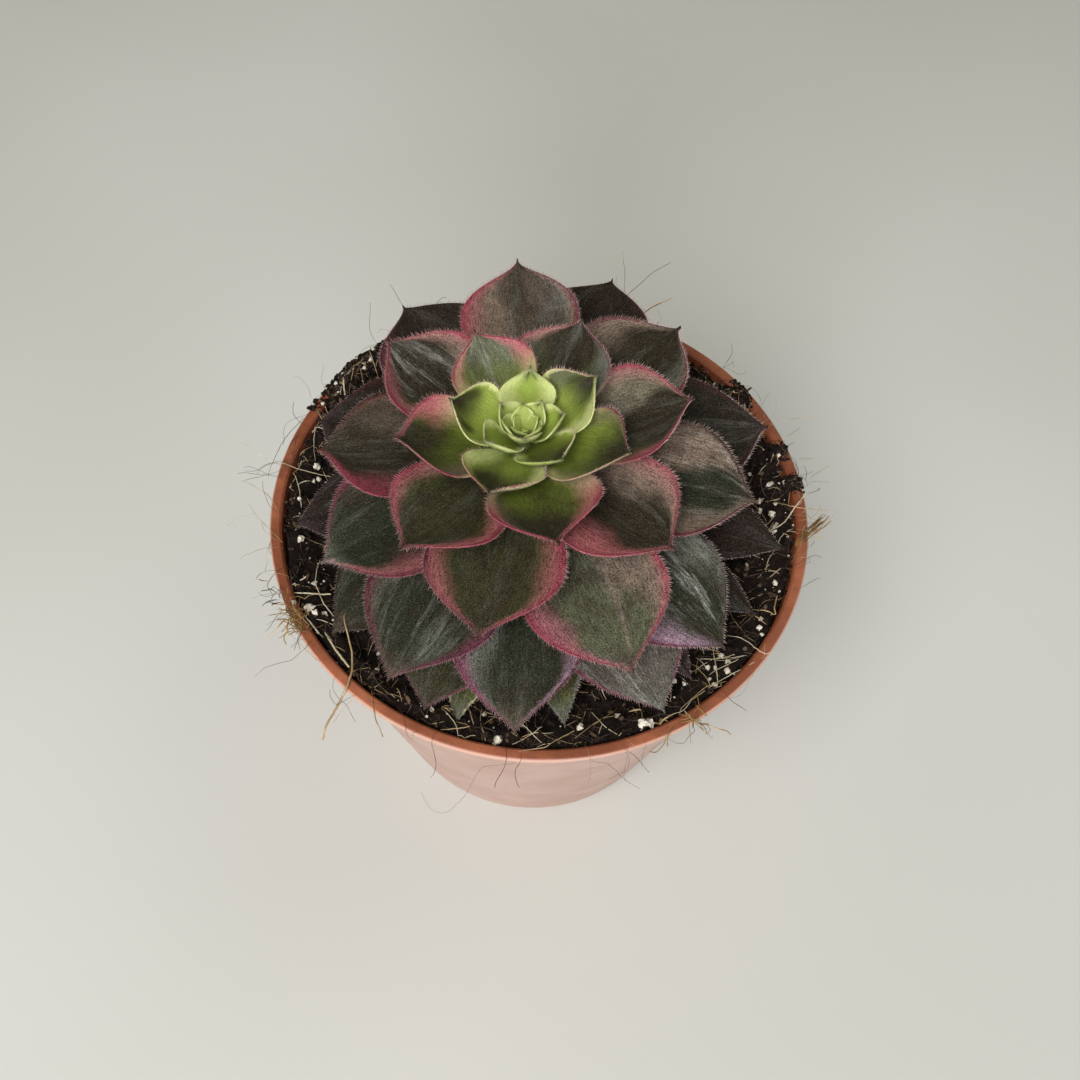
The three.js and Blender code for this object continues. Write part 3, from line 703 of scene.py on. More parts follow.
# what single leaves show of their own, each pair for the right-hand and the left-hand half seen from the heart;
# a smudge is a share across, a share along and a size
leafMarks = {
    -5: {"smudges": [(0.3, 0.9, 0.2)]},
    -3: {"flush": ("paleLime", "fresh"), "flushMm": (2.6, 1.2), "smudges": [(0, 0.95, 0.24)]},
    -2: {"base": "lime", "flush": "lime", "margin": "fresh", "flushMm": (1, 2),
         "smudges": [(0.2, 0.92, 0.22), (-0.6, 0.7, 0.14)]},
    -1: {"base": "lime", "flush": ("lime", "fresh"), "margin": "fresh",
         "smudges": [(0, 0.95, 0.22), (0.7, 0.72, 0.16)]},
    0: {"margin": "fresh", "band": (0.8, 0.6), "flush": ("fresh", "paleLime"), "flushMm": 5,
        "streakAndSheenShare": 0.3, "smudges": [(0.2, 0.9, 0.17), (-0.45, 0.86, 0.12)]},
    1: {"base": "deepLime", "middle": "olive", "lime": 0.46, "margin": ("fresh", "cream"), "band": (0.7, 0.6),
        "flush": "lime", "flushMm": (3, 1.2), "streakAndSheenShare": 0.4,
        "smudges": [(0.3, 0.8, 0.2), (-0.2, 0.9, 0.2)]},
    2: {"middle": "moss", "lime": 0.64, "band": (0.7, 0.5), "flush": ("fresh", "lime"), "flushMm": (1.5, 1.6),
        "streakAndSheenShare": (0.5, 0.4), "smudges": [(-0.6, 0.76, 0.2), (-0.2, 0.9, 0.16), (0.5, 0.66, 0.12)]},
    3: {"middle": "moss", "lime": 0.62, "blush": "sage", "blushReach": (0.3, 0.6), "streakAndSheenShare": (0.5, 0.6),
        "streakAndSheen": "ash", "flush": ("paleLime", "cream"), "flushMm": (4.6, 1.2), "margin": ("paleLime", "sand"),
        "band": (1, 0.7), "smudges": [(0.1, 0.9, 0.2)]},
    4: {"middle": "moss", "band": (0.8, 0.9), "margin": "rose", "flush": ("khaki", "cream"), "flushMm": (4.6, 3.4),
        "lime": 0.5, "outward": 0.5, "streakAndSheenShare": 0.5},
    5: {"base": "deepLime", "middle": "sage", "lime": 0.5, "flush": ("coral", "peach"), "flushMm": (5.4, 4.2),
        "blush": "sage", "blushReach": (0.3, 0.2), "streakAndSheen": "silver", "streakAndSheenShare": (0.3, 0.7),
        "margin": "crimson", "band": 0.9, "outward": 0.34},
    6: {"band": (0.8, 0.9), "margin": ("sand", "garnet"), "flush": "khaki", "flushMm": (2.8, 1), "lime": 0.6,
        "outward": 0.3, "streakAndSheenShare": 0.4},
    7: {"flushMm": (6.5, 0.8), "flush": "coral", "margin": "crimson", "band": (1.1, 1), "lime": 0.5,
        "outward": 0.3, "streakAndSheenShare": (0.5, 0.4)},
    8: {"middle": "umber", "blush": "ash", "blushReach": 0.5, "flushMm": (0.6, 4.4), "flush": ("ash", "clay"),
        "margin": ("garnet", "crimson"), "streakAndSheenShare": 0.7, "band": (0.8, 1.1), "lime": 0.46},
    9: {"flush": "coral", "flushMm": (2.6, 6), "band": (1.6, 1.8), "lime": 0.5, "base": "deepLime"},
    10: {"middle": "umber", "blush": "taupe", "streakAndSheen": "silver", "streakAndSheenShare": (0.5, 0.7), "blushReach": (0.5, 0.2),
         "flush": ("clay", "rose"), "flushMm": (4.5, 5.4), "band": (1.6, 1.8)},
    11: {"blush": "drab", "blushReach": (0.2, 0.9), "flush": ("rose", "clay"), "flushMm": (3, 5),
         "band": (1.5, 1.7), "lime": 0.42},
    12: {"middle": "moss", "blush": "olive", "flush": ("rose", "coral"), "flushMm": (4.5, 5), "band": (1.6, 1.8)},
    13: {"base": "dusk", "middle": "dusk", "blush": ("stone", "taupe"), "blushReach": (0.7, 1.1),
         "flush": ("taupe", "rose"), "flushMm": (4, 6), "streakAndSheenShare": 0.7, "streakAndSheen": "ash", "band": (1.6, 2),
         "margin": ("garnet", "crimson"), "smudges": [(0, 0.8, 0.16), (0, 0.5, 0.12)]},
    14: {"blush": ("dusk", "taupe"), "blushReach": (0.2, 0.65), "flushMm": (8, 4.6), "flush": ("coral", "clay"),
         "band": (2, 1.6)},
    15: {"middle": "umber", "blushReach": (0.8, 0.5), "flush": ("russet", "crimson"), "flushMm": (2.6, 7),
         "margin": ("maroon", "crimson"), "band": (1.1, 2)},
    16: {"middle": "umber", "blushReach": (0.5, 0.6), "blush": "ash", "flush": "taupe", "streakAndSheenShare": (0.7, 0.6),
         "band": (1.1, 1.6), "flushMm": (2.6, 9)},
    17: {"middle": "moss", "blush": "olive", "blushReach": (0.3, 0.4), "flush": "rose", "flushMm": (6.5, 6),
         "margin": ("garnet", "crimson"), "band": (2, 2.4), "streakAndSheenShare": (0.45, 0.4)},
    18: {"middle": "soot", "blush": "umber", "flush": ("maroon", "wine"), "margin": ("soot", "wine"),
         "streakAndSheenShare": (0.4, 0.3), "band": 1.4, "flushMm": (3, 4), "tip": "soot"},
    19: {"middle": "bottle", "blush": "taupe", "blushReach": (0.2, 0.9), "flush": "taupe", "flushMm": (11, 2.4),
         "margin": ("garnet", "maroon"), "band": 1.8, "streakAndSheenShare": (0.4, 0.6), "streakAndSheen": "silver"},
    20: {"middle": "bottle", "blushReach": (0.4, 0.2), "flushMm": (2.4, 6.5), "flush": ("mauve", "rose"),
         "margin": "garnet", "band": (1.3, 1.6), "streakAndSheenShare": (0.7, 0.4), "tip": "ash"},
    21: {"middle": "soot", "blush": "soot", "flush": "maroon", "margin": "wine", "tip": "soot",
         "streakAndSheenShare": 0.3, "band": 1},
    22: {"base": "sage", "middle": "fern", "stripe": (0.2, 0.07), "blush": "taupe", "blushReach": (0.15, 0.7),
         "flush": ("pink", "clay"), "flushMm": (8, 3), "margin": "crimson", "band": (2.2, 1.6),
         "streakAndSheenShare": (0.5, 0.6), "tip": "dusk"},
    23: {"middle": "soot", "blush": "plum", "flush": "maroon", "margin": "wine", "tip": "plum", "streakAndSheenShare": 0.3,
         "band": (0.8, 0.6)},
    24: {"middle": "black", "blush": "bottle", "flush": "maroon", "margin": "maroon", "tip": "plum", "band": 1},
    25: {"middle": "bottle", "streakAndSheenShare": 0.95, "blush": "dusk", "blushReach": (0.1, 0.4),
         "flush": ("dusk", "mauve"), "flushMm": (5, 4), "margin": ("wine", "mauve"), "band": (3.4, 1.6)},
    27: {"middle": "bottle", "streakAndSheen": "silver", "streakAndSheenShare": (0.1, 1), "blushReach": (0.1, 0.55),
         "flush": ("lavender", "ash"), "flushMm": (14, 1), "margin": ("mauve", "soot"), "band": (2.6, 0.9),
         "tip": "umber"},
    28: {"middle": "soot", "blush": "plum", "flush": "plum", "margin": "soot", "tip": "plum", "band": 0.8},
    30: {"middle": "bottle", "blush": "ash", "blushReach": (0.8, 0.2), "flush": ("heather", "lavender"),
         "flushMm": (5, 4.6), "margin": ("mauve", "wine"), "band": (3.6, 1), "streakAndSheenShare": (0.6, 0.4), "tip": "dusk"},
    31: {"middle": "soot", "flush": "plum", "margin": "plum", "band": 1},
    33: {"middle": "bottle", "streakAndSheenShare": 0.6, "flush": "umber", "margin": "soot", "band": (1.2, 1)},
    35: {"base": "stone", "middle": "stone", "blush": "stone", "blushReach": 0.6, "streakAndSheen": "silver",
         "streakAndSheenShare": (0.8, 0.95), "flush": "mauve", "flushMm": (1.6, 2), "band": 1, "tip": "ash"},
    36: {"middle": "plum", "margin": "mauve", "band": 1},
    38: {"middle": "moss", "streakAndSheenShare": 0.7, "blushReach": (0.3, 0.2), "blush": "dusk", "flush": "mauve",
         "flushMm": (2.2, 2), "band": 1.2},
    40: {"middle": "soot", "blush": "plum", "flush": "plum", "margin": "plum", "tip": "black", "band": 0.8},
    43: {"middle": "olive", "blush": "olive", "flush": "ash", "margin": "ash", "tip": "ash", "band": 0.8},
    48: {"middle": "black", "blush": "black", "flush": "plum", "margin": "plum", "tip": "black", "band": 0.6},
    51: {"middle": "olive", "blush": "deepLime", "flush": "ash", "margin": "cream", "tip": "ash", "band": 0.4},
    56: {"middle": "plum", "blush": "plum", "flush": "plum", "margin": "plum", "tip": "plum", "band": 0.6},
}


def ruled(stops, rank):
    return float(np.interp(rank, [s[0] for s in stops], [s[1] for s in stops]))


def pairOf(value):
    return value if isinstance(value, tuple) else (value, value)


def zoneTints(zone, rank):  # one for the right-hand half and one for the left-hand half
    own = leafMarks.get(rank, {}).get(zone)
    if own:
        return [paint(leafPaint[name]) for name in pairOf(own)]
    stops = leafZones[zone]
    colours = np.array([paint(leafPaint[s[1]]) for s in stops])
    return [np.array([np.interp(rank, [s[0] for s in stops], colours[:, i]) for i in range(3)])] * 2


def stemRadius(height):
    return float(np.interp(height, [stemShape["shoulder"], stemShape["top"]],
                           [stemShape["shoulderRadius"], stemShape["topRadius"]]))


def leafOf(rank):
    own = offRule.get(rank, {})
    rootHeight = ruled(leafRules["rootHeight"], rank)
    azimuth = math.radians(headShape["firstAzimuth"] - headShape["divergence"] * rank + own.get("turn", 0))
    isBack = rank >= headShape["backFromRank"] and math.sin(azimuth) > 0
    reach = headShape["backReach"] if isBack else ruled(leafRules["reach"], rank) + own.get("reach", 0)
    lean = reach * (headShape["leanX"] * math.cos(azimuth) + headShape["leanY"] * math.sin(azimuth))
    resting = ruled(leafRules["restHeight"], rank) - lean
    hanging = ruled(leafRules["tipHeight"], rank) + own.get("rise", 0)
    fullWidth = ruled(leafRules["width"], rank) + own.get("width", 0)
    leaf = {name: ruled(leafRules[name], rank) for name in
            ("widestAt", "ogee", "core", "wave", "crease", "hairLength", "limeReach", "band", "flushMm", "streakAndSheenShare",
             "velvet")}
    leaf.update({name: math.radians(ruled(leafRules[name], rank)) for name in ("rootRise", "tipRise", "cup")})
    leaf.update({
        "rank": rank, "azimuth": azimuth, "rootRadius": stemRadius(rootHeight) + stemShape["gap"],
        "rootHeight": rootHeight, "reach": reach, "tipHeight": max(hanging, resting),
        "width": headShape["backWidthShare"] * fullWidth if isBack else fullWidth,
    })
    leaf["rib"] = midrib(leaf)
    return leaf


def midrib(leaf):  # stations evenly spaced along the curve: radius, height, heading
    root = np.array([leaf["rootRadius"], leaf["rootHeight"]])
    tip = np.array([leaf["reach"], leaf["tipHeight"]])
    length = np.linalg.norm(tip - root)
    leaving = np.array([math.cos(leaf["rootRise"]), math.sin(leaf["rootRise"])])
    arriving = np.array([math.cos(leaf["tipRise"]), math.sin(leaf["tipRise"])])
    a = root + bladeShape["rootHandle"] * length * leaving
    b = tip - bladeShape["tipHandle"] * length * arriving
    u = np.linspace(0, 1, 201)[:, None]
    curve = (1 - u) ** 3 * root + 3 * (1 - u) ** 2 * u * a + 3 * (1 - u) * u ** 2 * b + u ** 3 * tip
    run = np.concatenate([[0], np.cumsum(np.linalg.norm(np.diff(curve, axis=0), axis=1))])
    heading = np.gradient(curve, axis=0)
    heading /= np.linalg.norm(heading, axis=1)[:, None]
    return {"share": run / run[-1], "curve": curve, "heading": heading, "length": run[-1]}


def outline(t, leaf):
    widest = leaf["widestAt"]
    inner = np.sin(np.pi / 2 * np.clip(t / widest, 0, 1)) ** bladeShape["shoulder"]
    s = np.clip((t - widest) / (1 - widest), 0, 1)
    outer = np.maximum(0, np.cos(np.pi / 2 * s)) ** (1 + leaf["ogee"] * s ** 3)
    return np.where(t < widest, bladeShape["rootShare"] + (1 - bladeShape["rootShare"]) * inner, outer)


def halfWidthOf(t, leaf):
    return np.maximum(bladeShape["tipHalfWidth"], 0.5 * leaf["width"] * outline(t, leaf))


def bladePoints(leaf, share, t):  # places on the blade's middle surface, in mm
    rib = leaf["rib"]
    centre = np.stack([np.interp(t, rib["share"], rib["curve"][:, i]) for i in range(2)], -1)
    heading = np.stack([np.interp(t, rib["share"], rib["heading"][:, i]) for i in range(2)], -1)
    halfWidth = halfWidthOf(t, leaf)
    bend = share * leaf["cup"]
    across = halfWidth * np.sin(bend) / leaf["cup"]
    phase = leaf["rank"] * 2.4
    wave = share ** 2 * np.sin(2 * np.pi * (1.7 * t + 0.25 * share) + phase)
    wave = wave + 0.5 * np.sin(2 * np.pi * (1.1 * t + 0.7 * share) + 1.7 * phase)
    wave = wave * leaf["wave"] * smooth(0.1, 0.5, t) * (1 - smooth(0.9, 1, t))
    fold = leaf["crease"] * np.exp(-(share / 0.2) ** 2) * smooth(0.2, 0.6, t) * (1 - smooth(0.85, 1, t))
    lift = halfWidth * (1 - np.cos(bend)) / leaf["cup"] + wave - fold
    radial = centre[:, 0] - heading[:, 1] * lift
    height = centre[:, 1] + heading[:, 0] * lift
    c, s = math.cos(leaf["azimuth"]), math.sin(leaf["azimuth"])
    x = radial * c - across * s
    y = radial * s + across * c
    z = height + headShape["leanX"] * x + headShape["leanY"] * y
    return np.stack([x + headShape["x"], y + headShape["y"], z], -1)


def setColours(mesh, name, values):
    attribute = mesh.color_attributes.new(name, "FLOAT_COLOR", "POINT")
    full = np.ones((len(values), 4), np.float32)
    full[:, :3] = values
    attribute.data.foreach_set("color", full.ravel())


skinLook = {
    # what each point of a leaf knows of itself
    "colours": ("ground", "blush", "flush", "streakAndSheen", "margin"),
    "numbers": ("blushShare", "streakAndSheenShare", "bandMm", "flushMm", "edgeMm", "veinMm", "alongMm", "velvet", "leafNumber"),
    "speckleMm": 0.3, "raggedMm": 1.3, "mottleMm": 5, "glintMm": 0.2,
    "brown": "#2c1e15", "paintedGlint": "#c9bfb2", "under": "#8b8a6c", "sheen": "#e6dcd0",
}


def paintLeaf(mesh, leaf, share, t):
    rank = leaf["rank"]
    marks = leafMarks.get(rank, {})
    side = smooth(-0.3, 0.3, share)
    tint = {zone: mix(*zoneTints(zone, rank), side) for zone in leafZones}

    def bothHalves(name, usual):
        low, high = pairOf(marks.get(name, usual))
        return low * (1 - side) + high * side

    cloudy = np.array([noise.noise(Vector((a * 1.6, b * 3.2, rank * 5.3))) for a, b in zip(share, t)])
    uneven = np.array([noise.noise(Vector((a * 1.1, b * 5.5, rank * 7.1 + 3))) for a, b in zip(np.sign(share), t)])
    halfWidth = halfWidthOf(t, leaf)
    limeReach = marks.get("lime", leaf["limeReach"])
    dark = smooth(limeReach - 0.26, limeReach + 0.24, t - 0.3 * share ** 2 + 0.2 * cloudy)
    ground = mix(tint["base"], tint["middle"], dark)
    tipShare = smooth(0.8 if rank < 1 else 0.86, 0.98, t) * 0.8
    ground = mix(ground, tint["tip"], tipShare)
    for place, along, size in marks.get("smudges", []):
        away = np.hypot((share - place) / (1.6 * size), (t - along) / size) + 0.5 * cloudy
        ground = mix(ground, paint(leafPaint["umber"]), 0.8 * (1 - smooth(0.25, 1.2, away)))
    blush = mix(tint["base"], tint["blush"], smooth(limeReach - 0.4, limeReach + 0.1, t))
    blush = mix(blush, tint["tip"], tipShare)
    inner = 1 - bothHalves("blushReach", 0.3) * (1 - 0.8 * smooth(0.55, 0.95, t))
    blushShare = 0.85 * smooth(-0.34, 0.3, np.abs(share) - inner + 0.2 * cloudy)
    if "stripe" in marks:
        place, width = marks["stripe"]
        blushShare = np.maximum(blushShare, 0.7 * (1 - smooth(0.2, 1.3, np.abs(share - place) / width)))
    begin = marks.get("outward", max(0.2, limeReach - 0.16))
    outward = smooth(begin, begin + 0.38, t)
    flush = mix(tint["root"], tint["flush"], outward)
    flush = mix(flush, tint["tip"], tipShare)
    margin = mix(tint["root"], tint["margin"], outward)
    margin = mix(margin, tint["flush"], np.clip(0.9 * uneven, 0, 0.5))
    margin = mix(margin, tint["tip"], tipShare)
    fading = (0.45 + 0.55 * smooth(0.08, 0.4, t)) * (1 - 0.75 * smooth(0.66, 0.95, t)) * (1 + 0.5 * uneven)
    streakAndSheenShare = bothHalves("streakAndSheenShare", leaf["streakAndSheenShare"]) * smooth(0.1, 0.35, t) * (0.15 + 0.85 * dark)
    for name, values in zip(skinLook["colours"], (ground, blush, flush, tint["streakAndSheen"], margin)):
        setColours(mesh, name, values)
    for name, values in zip(skinLook["numbers"], (
            blushShare, streakAndSheenShare, bothHalves("band", leaf["band"]) * fading,
            bothHalves("flushMm", leaf["flushMm"]) * fading, halfWidth * (1 - np.abs(share)),
            share * np.sqrt(halfWidth * leaf["width"] / 2), t * leaf["rib"]["length"],
            leaf["velvet"] * (0.45 + 0.55 * dark), np.full(len(t), rank * 3.7))):
        setFloats(mesh, name, values)


def makeLeafSkin(name, streakAndSheenGain, underShare):
    # succulent leaf skin: waxy satin under a short velvet of hairs, with painted highlights in specks for its glints
    # and not one gloss
    material, add, shader = newMaterial(name)
    look = skinLook
    colour = {n: add("Attribute", output="Color", attribute_name=n) for n in look["colours"]}
    number = {n: add("Attribute", output="Fac", attribute_name=n) for n in look["numbers"]}
    coords = add("TexCoord", output="Object")
    veins = add("CombineXYZ", [add("Math", [number["veinMm"], 0.75], operation="MULTIPLY"),
                               add("Math", [number["alongMm"], 0.1], operation="MULTIPLY"), number["leafNumber"]])
    feather, patches, brushed, speckle, ragged, mottle, glints = (
        add("TexNoise", {"Vector": vector, "Scale": scale, "Detail": detail, "Roughness": rough, "Distortion": drift})
        for vector, scale, detail, rough, drift in (
            (veins, 1, 6, 0.72, 0.7), (veins, 0.32, 3, 0.5, 0.4), (veins, 4.2, 4, 0.75, 0),
            (coords, perMm(look["speckleMm"]), 3, 0.75, 0), (coords, perMm(look["raggedMm"]), 4, 0.75, 0),
            (coords, perMm(look["mottleMm"]), 4, 0.6, 0), (coords, perMm(look["glintMm"]), 1, 0.5, 0)))

    # sectors: paler flesh towards the sides, its border drawn out along the veins
    drawn = add("Math", [add("Math", [feather, 0.5], operation="SUBTRACT"), 0.7], operation="MULTIPLY")
    blushed = add("Math", [number["blushShare"], drawn], operation="ADD")
    feathered = add("Math", [add("Math", [feather, 0.45], operation="MULTIPLY"),
                             add("Math", [patches, 0.55], operation="MULTIPLY")], operation="ADD")
    # streaks along the veins, partly the leaf's own streaks and partly painted sheen, the grey and silver patches
    # standing in for light off the velvet
    streakedAndSheened = add("Math", [add("MapRange", [feathered, 0.48, 0.66, 0, 0.85], **eased),
                            add("Math", [number["streakAndSheenShare"], streakAndSheenGain], operation="MULTIPLY")], operation="MULTIPLY")
    browned = add("Math", [add("MapRange", [mottle, 0.42, 0.68, 0, 0.5], **eased), number["velvet"]],
                  operation="MULTIPLY")

    # the margin: a flush that thins out inwards, and a darker line with a ragged border at the edge
    roughly = add("Math", [add("Math", [ragged, 0.5], operation="SUBTRACT"), 2.4], operation="MULTIPLY")
    fromEdge = add("Math", [number["edgeMm"], roughly], operation="ADD")
    flushed, edged = (add("Math", [fromEdge, add("Math", [number[width], 0.05], operation="MAXIMUM")],
                          operation="DIVIDE") for width in ("flushMm", "bandMm"))

    # midrib: a faint pale line
    fromMiddle = add("Math", [number["veinMm"], 0], operation="ABSOLUTE")
    rib = add("Math", [add("MapRange", [fromMiddle, 0.3, 0.08], **eased),
                       add("MapRange", [ragged, 0.45, 0.7, 0, 0.3], **eased)], operation="MULTIPLY")
    tint = layTints(add, colour["ground"], ([blushed, 0.1, 0.9], colour["blush"]), (streakedAndSheened, colour["streakAndSheen"]),
                    (browned, look["brown"]), ([flushed, 1.15, 0.2, 0, 0.9], colour["flush"]),
                    ([edged, 1.25, 0.1, 0, 0.95], colour["margin"]),
                    (add("Math", [rib, number["velvet"]], operation="MULTIPLY"), colour["streakAndSheen"]))

    # velvet: dark and light specks about a third of a millimetre apart, brushed along the veins
    grained = add("Math", [add("Math", [speckle, 0.6], operation="MULTIPLY"),
                           add("Math", [brushed, 0.4], operation="MULTIPLY")], operation="ADD")
    grain = add("MapRange", [grained, 0.38, 0.63, 0.22, 1.85], **eased)
    speckled = add("Mix", {0: 1, 6: tint, 7: add("CombineColor", [grain] * 3)}, 2, data_type="RGBA",
                   blend_type="MULTIPLY")
    # painted highlights: pale glints of the hairs laid into the colour in fine specks
    paintedGlintShare = add("Math", [add("MapRange", [glints, 0.55, 0.72, 0, 0.16], **eased), number["velvet"]],
                   operation="MULTIPLY")
    tint = layTints(add, tint, (number["velvet"], speckled), (paintedGlintShare, look["paintedGlint"]))
    if underShare:
        tint = layTints(add, tint, (underShare, look["under"]))
    height = add("Math", [add("Math", [feather, 0.6], operation="MULTIPLY"),
                          add("Math", [speckle, 0.4], operation="MULTIPLY")], operation="ADD")
    fillSockets(shader, {
        "Base Color": tint, "Roughness": add("MapRange", [speckle, 0.3, 0.7, 0.42, 0.68], **eased),
        "Sheen Weight": 0.03, "Sheen Roughness": 0.4, "Sheen Tint": rgba(look["sheen"]),
        "Specular IOR Level": 0.2, "IOR": 1.42,
        "Normal": add("Bump", {"Height": height, "Strength": 0.6, "Distance": 0.5 * mm}),
    })
    return material


hairShape = {"spacing": 0.42, "radius": 0.085, "from": 0.16, "to": 0.985, "stations": 240, "sunk": 0.12,
             "inner": 0.93, "nudge": 0.004, "jitter": 0.3, "spread": 0.18, "tint": "#ecd2c8", "seed": 21}


def makeHairMaterial(shape):
    # stiff marginal hairs: clear cell walls, so they look whitish with a pink root
    material, add, shader = newMaterial("marginal hair")
    tint = layTints(add, add("Attribute", output="Color", attribute_name="margin"), (0.4, shape["tint"]))
    fillSockets(shader, {"Base Color": tint, "Roughness": 0.4})
    return material


leafTop = makeLeafSkin("leaf skin, upper face", 1, 0)
leafUnder = makeLeafSkin("leaf skin, under face", 0.35, 0.2)
leafHair = makeHairMaterial(hairShape)


def modelHair():
    clearSelection()
    bpy.ops.mesh.primitive_cone_add(vertices=3, radius1=1, radius2=0, depth=1, location=(0, 0, 0.5))
    hair = bpy.context.object
    bpy.ops.object.transform_apply(location=True)
    return meshArrays(hair)


hairModel = modelHair()


def unit(vectors):
    return vectors / np.maximum(np.linalg.norm(vectors, axis=-1, keepdims=True), 1e-9)


def makeHairs(leaf, shape):
    rng = np.random.default_rng(shape["seed"] + leaf["rank"] + 50)
    fine = np.linspace(shape["from"], shape["to"], shape["stations"])
    corners = len(hairModel[0])
    places, along, half = [], [], []
    for side in (-1.0, 1.0):
        line = bladePoints(leaf, np.full(len(fine), side), fine)
        run = np.concatenate([[0], np.cumsum(np.linalg.norm(np.diff(line, axis=0), axis=1))])
        count = int(run[-1] / shape["spacing"])
        uneven = rng.uniform(-shape["jitter"], shape["jitter"], count)
        at = np.interp((np.arange(count) + uneven) * shape["spacing"], run, fine)
        onEdge = np.full(count, side)
        edge = bladePoints(leaf, onEdge, at)
        ahead = unit(bladePoints(leaf, onEdge, np.minimum(at + shape["nudge"], 1))
                     - bladePoints(leaf, onEdge, at - shape["nudge"]))
        out = edge - bladePoints(leaf, onEdge * shape["inner"], at)
        out = unit(out - ahead * np.sum(out * ahead, axis=1)[:, None])
        for i in range(count):
            axis = unit(out[i] + ahead[i] * rng.uniform(0.1, 0.7) + rng.normal(size=3) * shape["spread"])
            turn = np.array(Vector(axis).to_track_quat("Z", "X").to_matrix())
            length = leaf["hairLength"] * rng.uniform(0.55, 1.15)
            radius = shape["radius"] * (0.6 + 0.4 * min(1, leaf["hairLength"]))
            places.append((0, edge[i] - axis * shape["sunk"], np.array([radius, radius, length + shape["sunk"]]), turn))
        along += list(np.repeat(at, corners))
        half += [side > 0] * (count * corners)
    hairs = copiesMesh("hairs", [hairModel], places)
    tints = [mix(*zoneTints(zone, leaf["rank"]), half) for zone in ("root", "margin")]
    setColours(hairs.data, "margin", mix(*tints, smooth(0.22, 0.55, along)))
    hairs.data.materials.append(leafHair)
    return hairs


def makeLeaf(leaf, stepsAlong, stepsAcross):
    clearSelection()
    bpy.ops.mesh.primitive_grid_add(x_subdivisions=stepsAcross, y_subdivisions=stepsAlong, size=1, location=(0, 0, 0))
    blade = bpy.context.object
    mesh = blade.data
    flat = np.array([v.co for v in mesh.vertices], float)
    share = np.sin(np.pi / 2 * np.clip(2 * flat[:, 0], -1, 1))
    even = np.clip(flat[:, 1] + 0.5, 0, 1)
    t = even + (np.sin(np.pi / 2 * even) - even) * bladeShape["tipCrowding"]
    mesh.vertices.foreach_set("co", (bladePoints(leaf, share, t) * mm).ravel())
    for loop in mesh.loops:
        mesh.uv_layers.active.data[loop.index].uv = ((share[loop.vertex_index] + 1) / 2, t[loop.vertex_index])
    paintLeaf(mesh, leaf, share, t)
    edge = min(bladeShape["edgeThickness"], 0.05 * leaf["width"])
    core = np.maximum(edge, leaf["core"] * (1 - bladeShape["taper"] * t))
    fullness = (core - edge) * (1 - share ** 2) / max(leaf["core"] - edge, 0.01)
    group = blade.vertex_groups.new(name="fullness")
    for index, weight in enumerate(fullness):
        group.add([index], float(min(1, weight)), "REPLACE")
    mesh.update()
    mesh.materials.append(leafTop)
    mesh.materials.append(leafUnder)
    pick(blade)
    bpy.ops.object.mode_set(mode="EDIT")
    bpy.ops.mesh.select_all(action="SELECT")
    bpy.ops.mesh.normals_make_consistent(inside=False)
    bpy.ops.object.mode_set(mode="OBJECT")
    middle = mesh.polygons[len(mesh.polygons) // 2]
    if middle.normal.z < 0:
        mesh.flip_normals()
    applyModifier(blade, "SOLIDIFY", thickness=leaf["core"] * mm, offset=0, vertex_group="fullness",
                  thickness_vertex_group=edge / leaf["core"], use_rim=True, material_offset=1, material_offset_rim=0)
    applyModifier(blade, "BEVEL", limit_method="ANGLE", angle_limit=math.radians(50), width=edge / 3 * mm, segments=2)
    pick(blade)
    bpy.ops.object.shade_smooth()
    return joinPieces(blade, makeHairs(leaf, hairShape))


def makeLeaves():
    ranks = list(range(headShape["youngest"], headShape["oldest"] + 1)) + headShape["remnants"]
    for number, rank in enumerate(ranks, 1):
        leaf = leafOf(rank)
        blade = makeLeaf(leaf, *bladeShape["smallSteps" if rank < bladeShape["smallBelow"] else "steps"])
        slot = next((slot for slot, last in headShape["slots"] if number <= last), "leaf_old")
        finishPiece(blade, f"leafBlade{number:02d}", slot, f"leaf_{number:02d}")


makeLeaves()
print("leaves made")


heartShape = {"youngest": -12, "coreRadius": 0.9, "coreHeight": 3.4, "rootRadius": 0.7,
              "steps": (24, 14)}


def makeHeart(shape):
    clearSelection()
    bpy.ops.mesh.primitive_uv_sphere_add(segments=24, ring_count=14, radius=1, location=(0, 0, 0))
    core = bpy.context.object
    middle = Vector((headShape["x"], headShape["y"], stemShape["top"] + stemShape["gap"] + shape["coreHeight"] / 2))
    for vertex in core.data.vertices:
        size = Vector((shape["coreRadius"], shape["coreRadius"], shape["coreHeight"] / 2))
        vertex.co = (middle + vertex.co * size) * mm
    count = len(core.data.vertices)
    leaf = leafOf(shape["youngest"])
    paintLeaf(core.data, leaf, np.zeros(count), np.full(count, 0.5))
    core.data.materials.append(leafTop)
    core.data.materials.append(leafUnder)
    bpy.ops.object.shade_smooth()
    blades = [core]
    for rank in range(shape["youngest"], headShape["youngest"]):
        leaf = leafOf(rank)
        leaf["rootRadius"] = shape["rootRadius"]
        leaf["rib"] = midrib(leaf)
        blades.append(makeLeaf(leaf, *shape["steps"]))
    joinPieces(*blades)
    finishPiece(core, "heartBud", "leaf_young", "heart")


makeHeart(heartShape)
print("heart made")


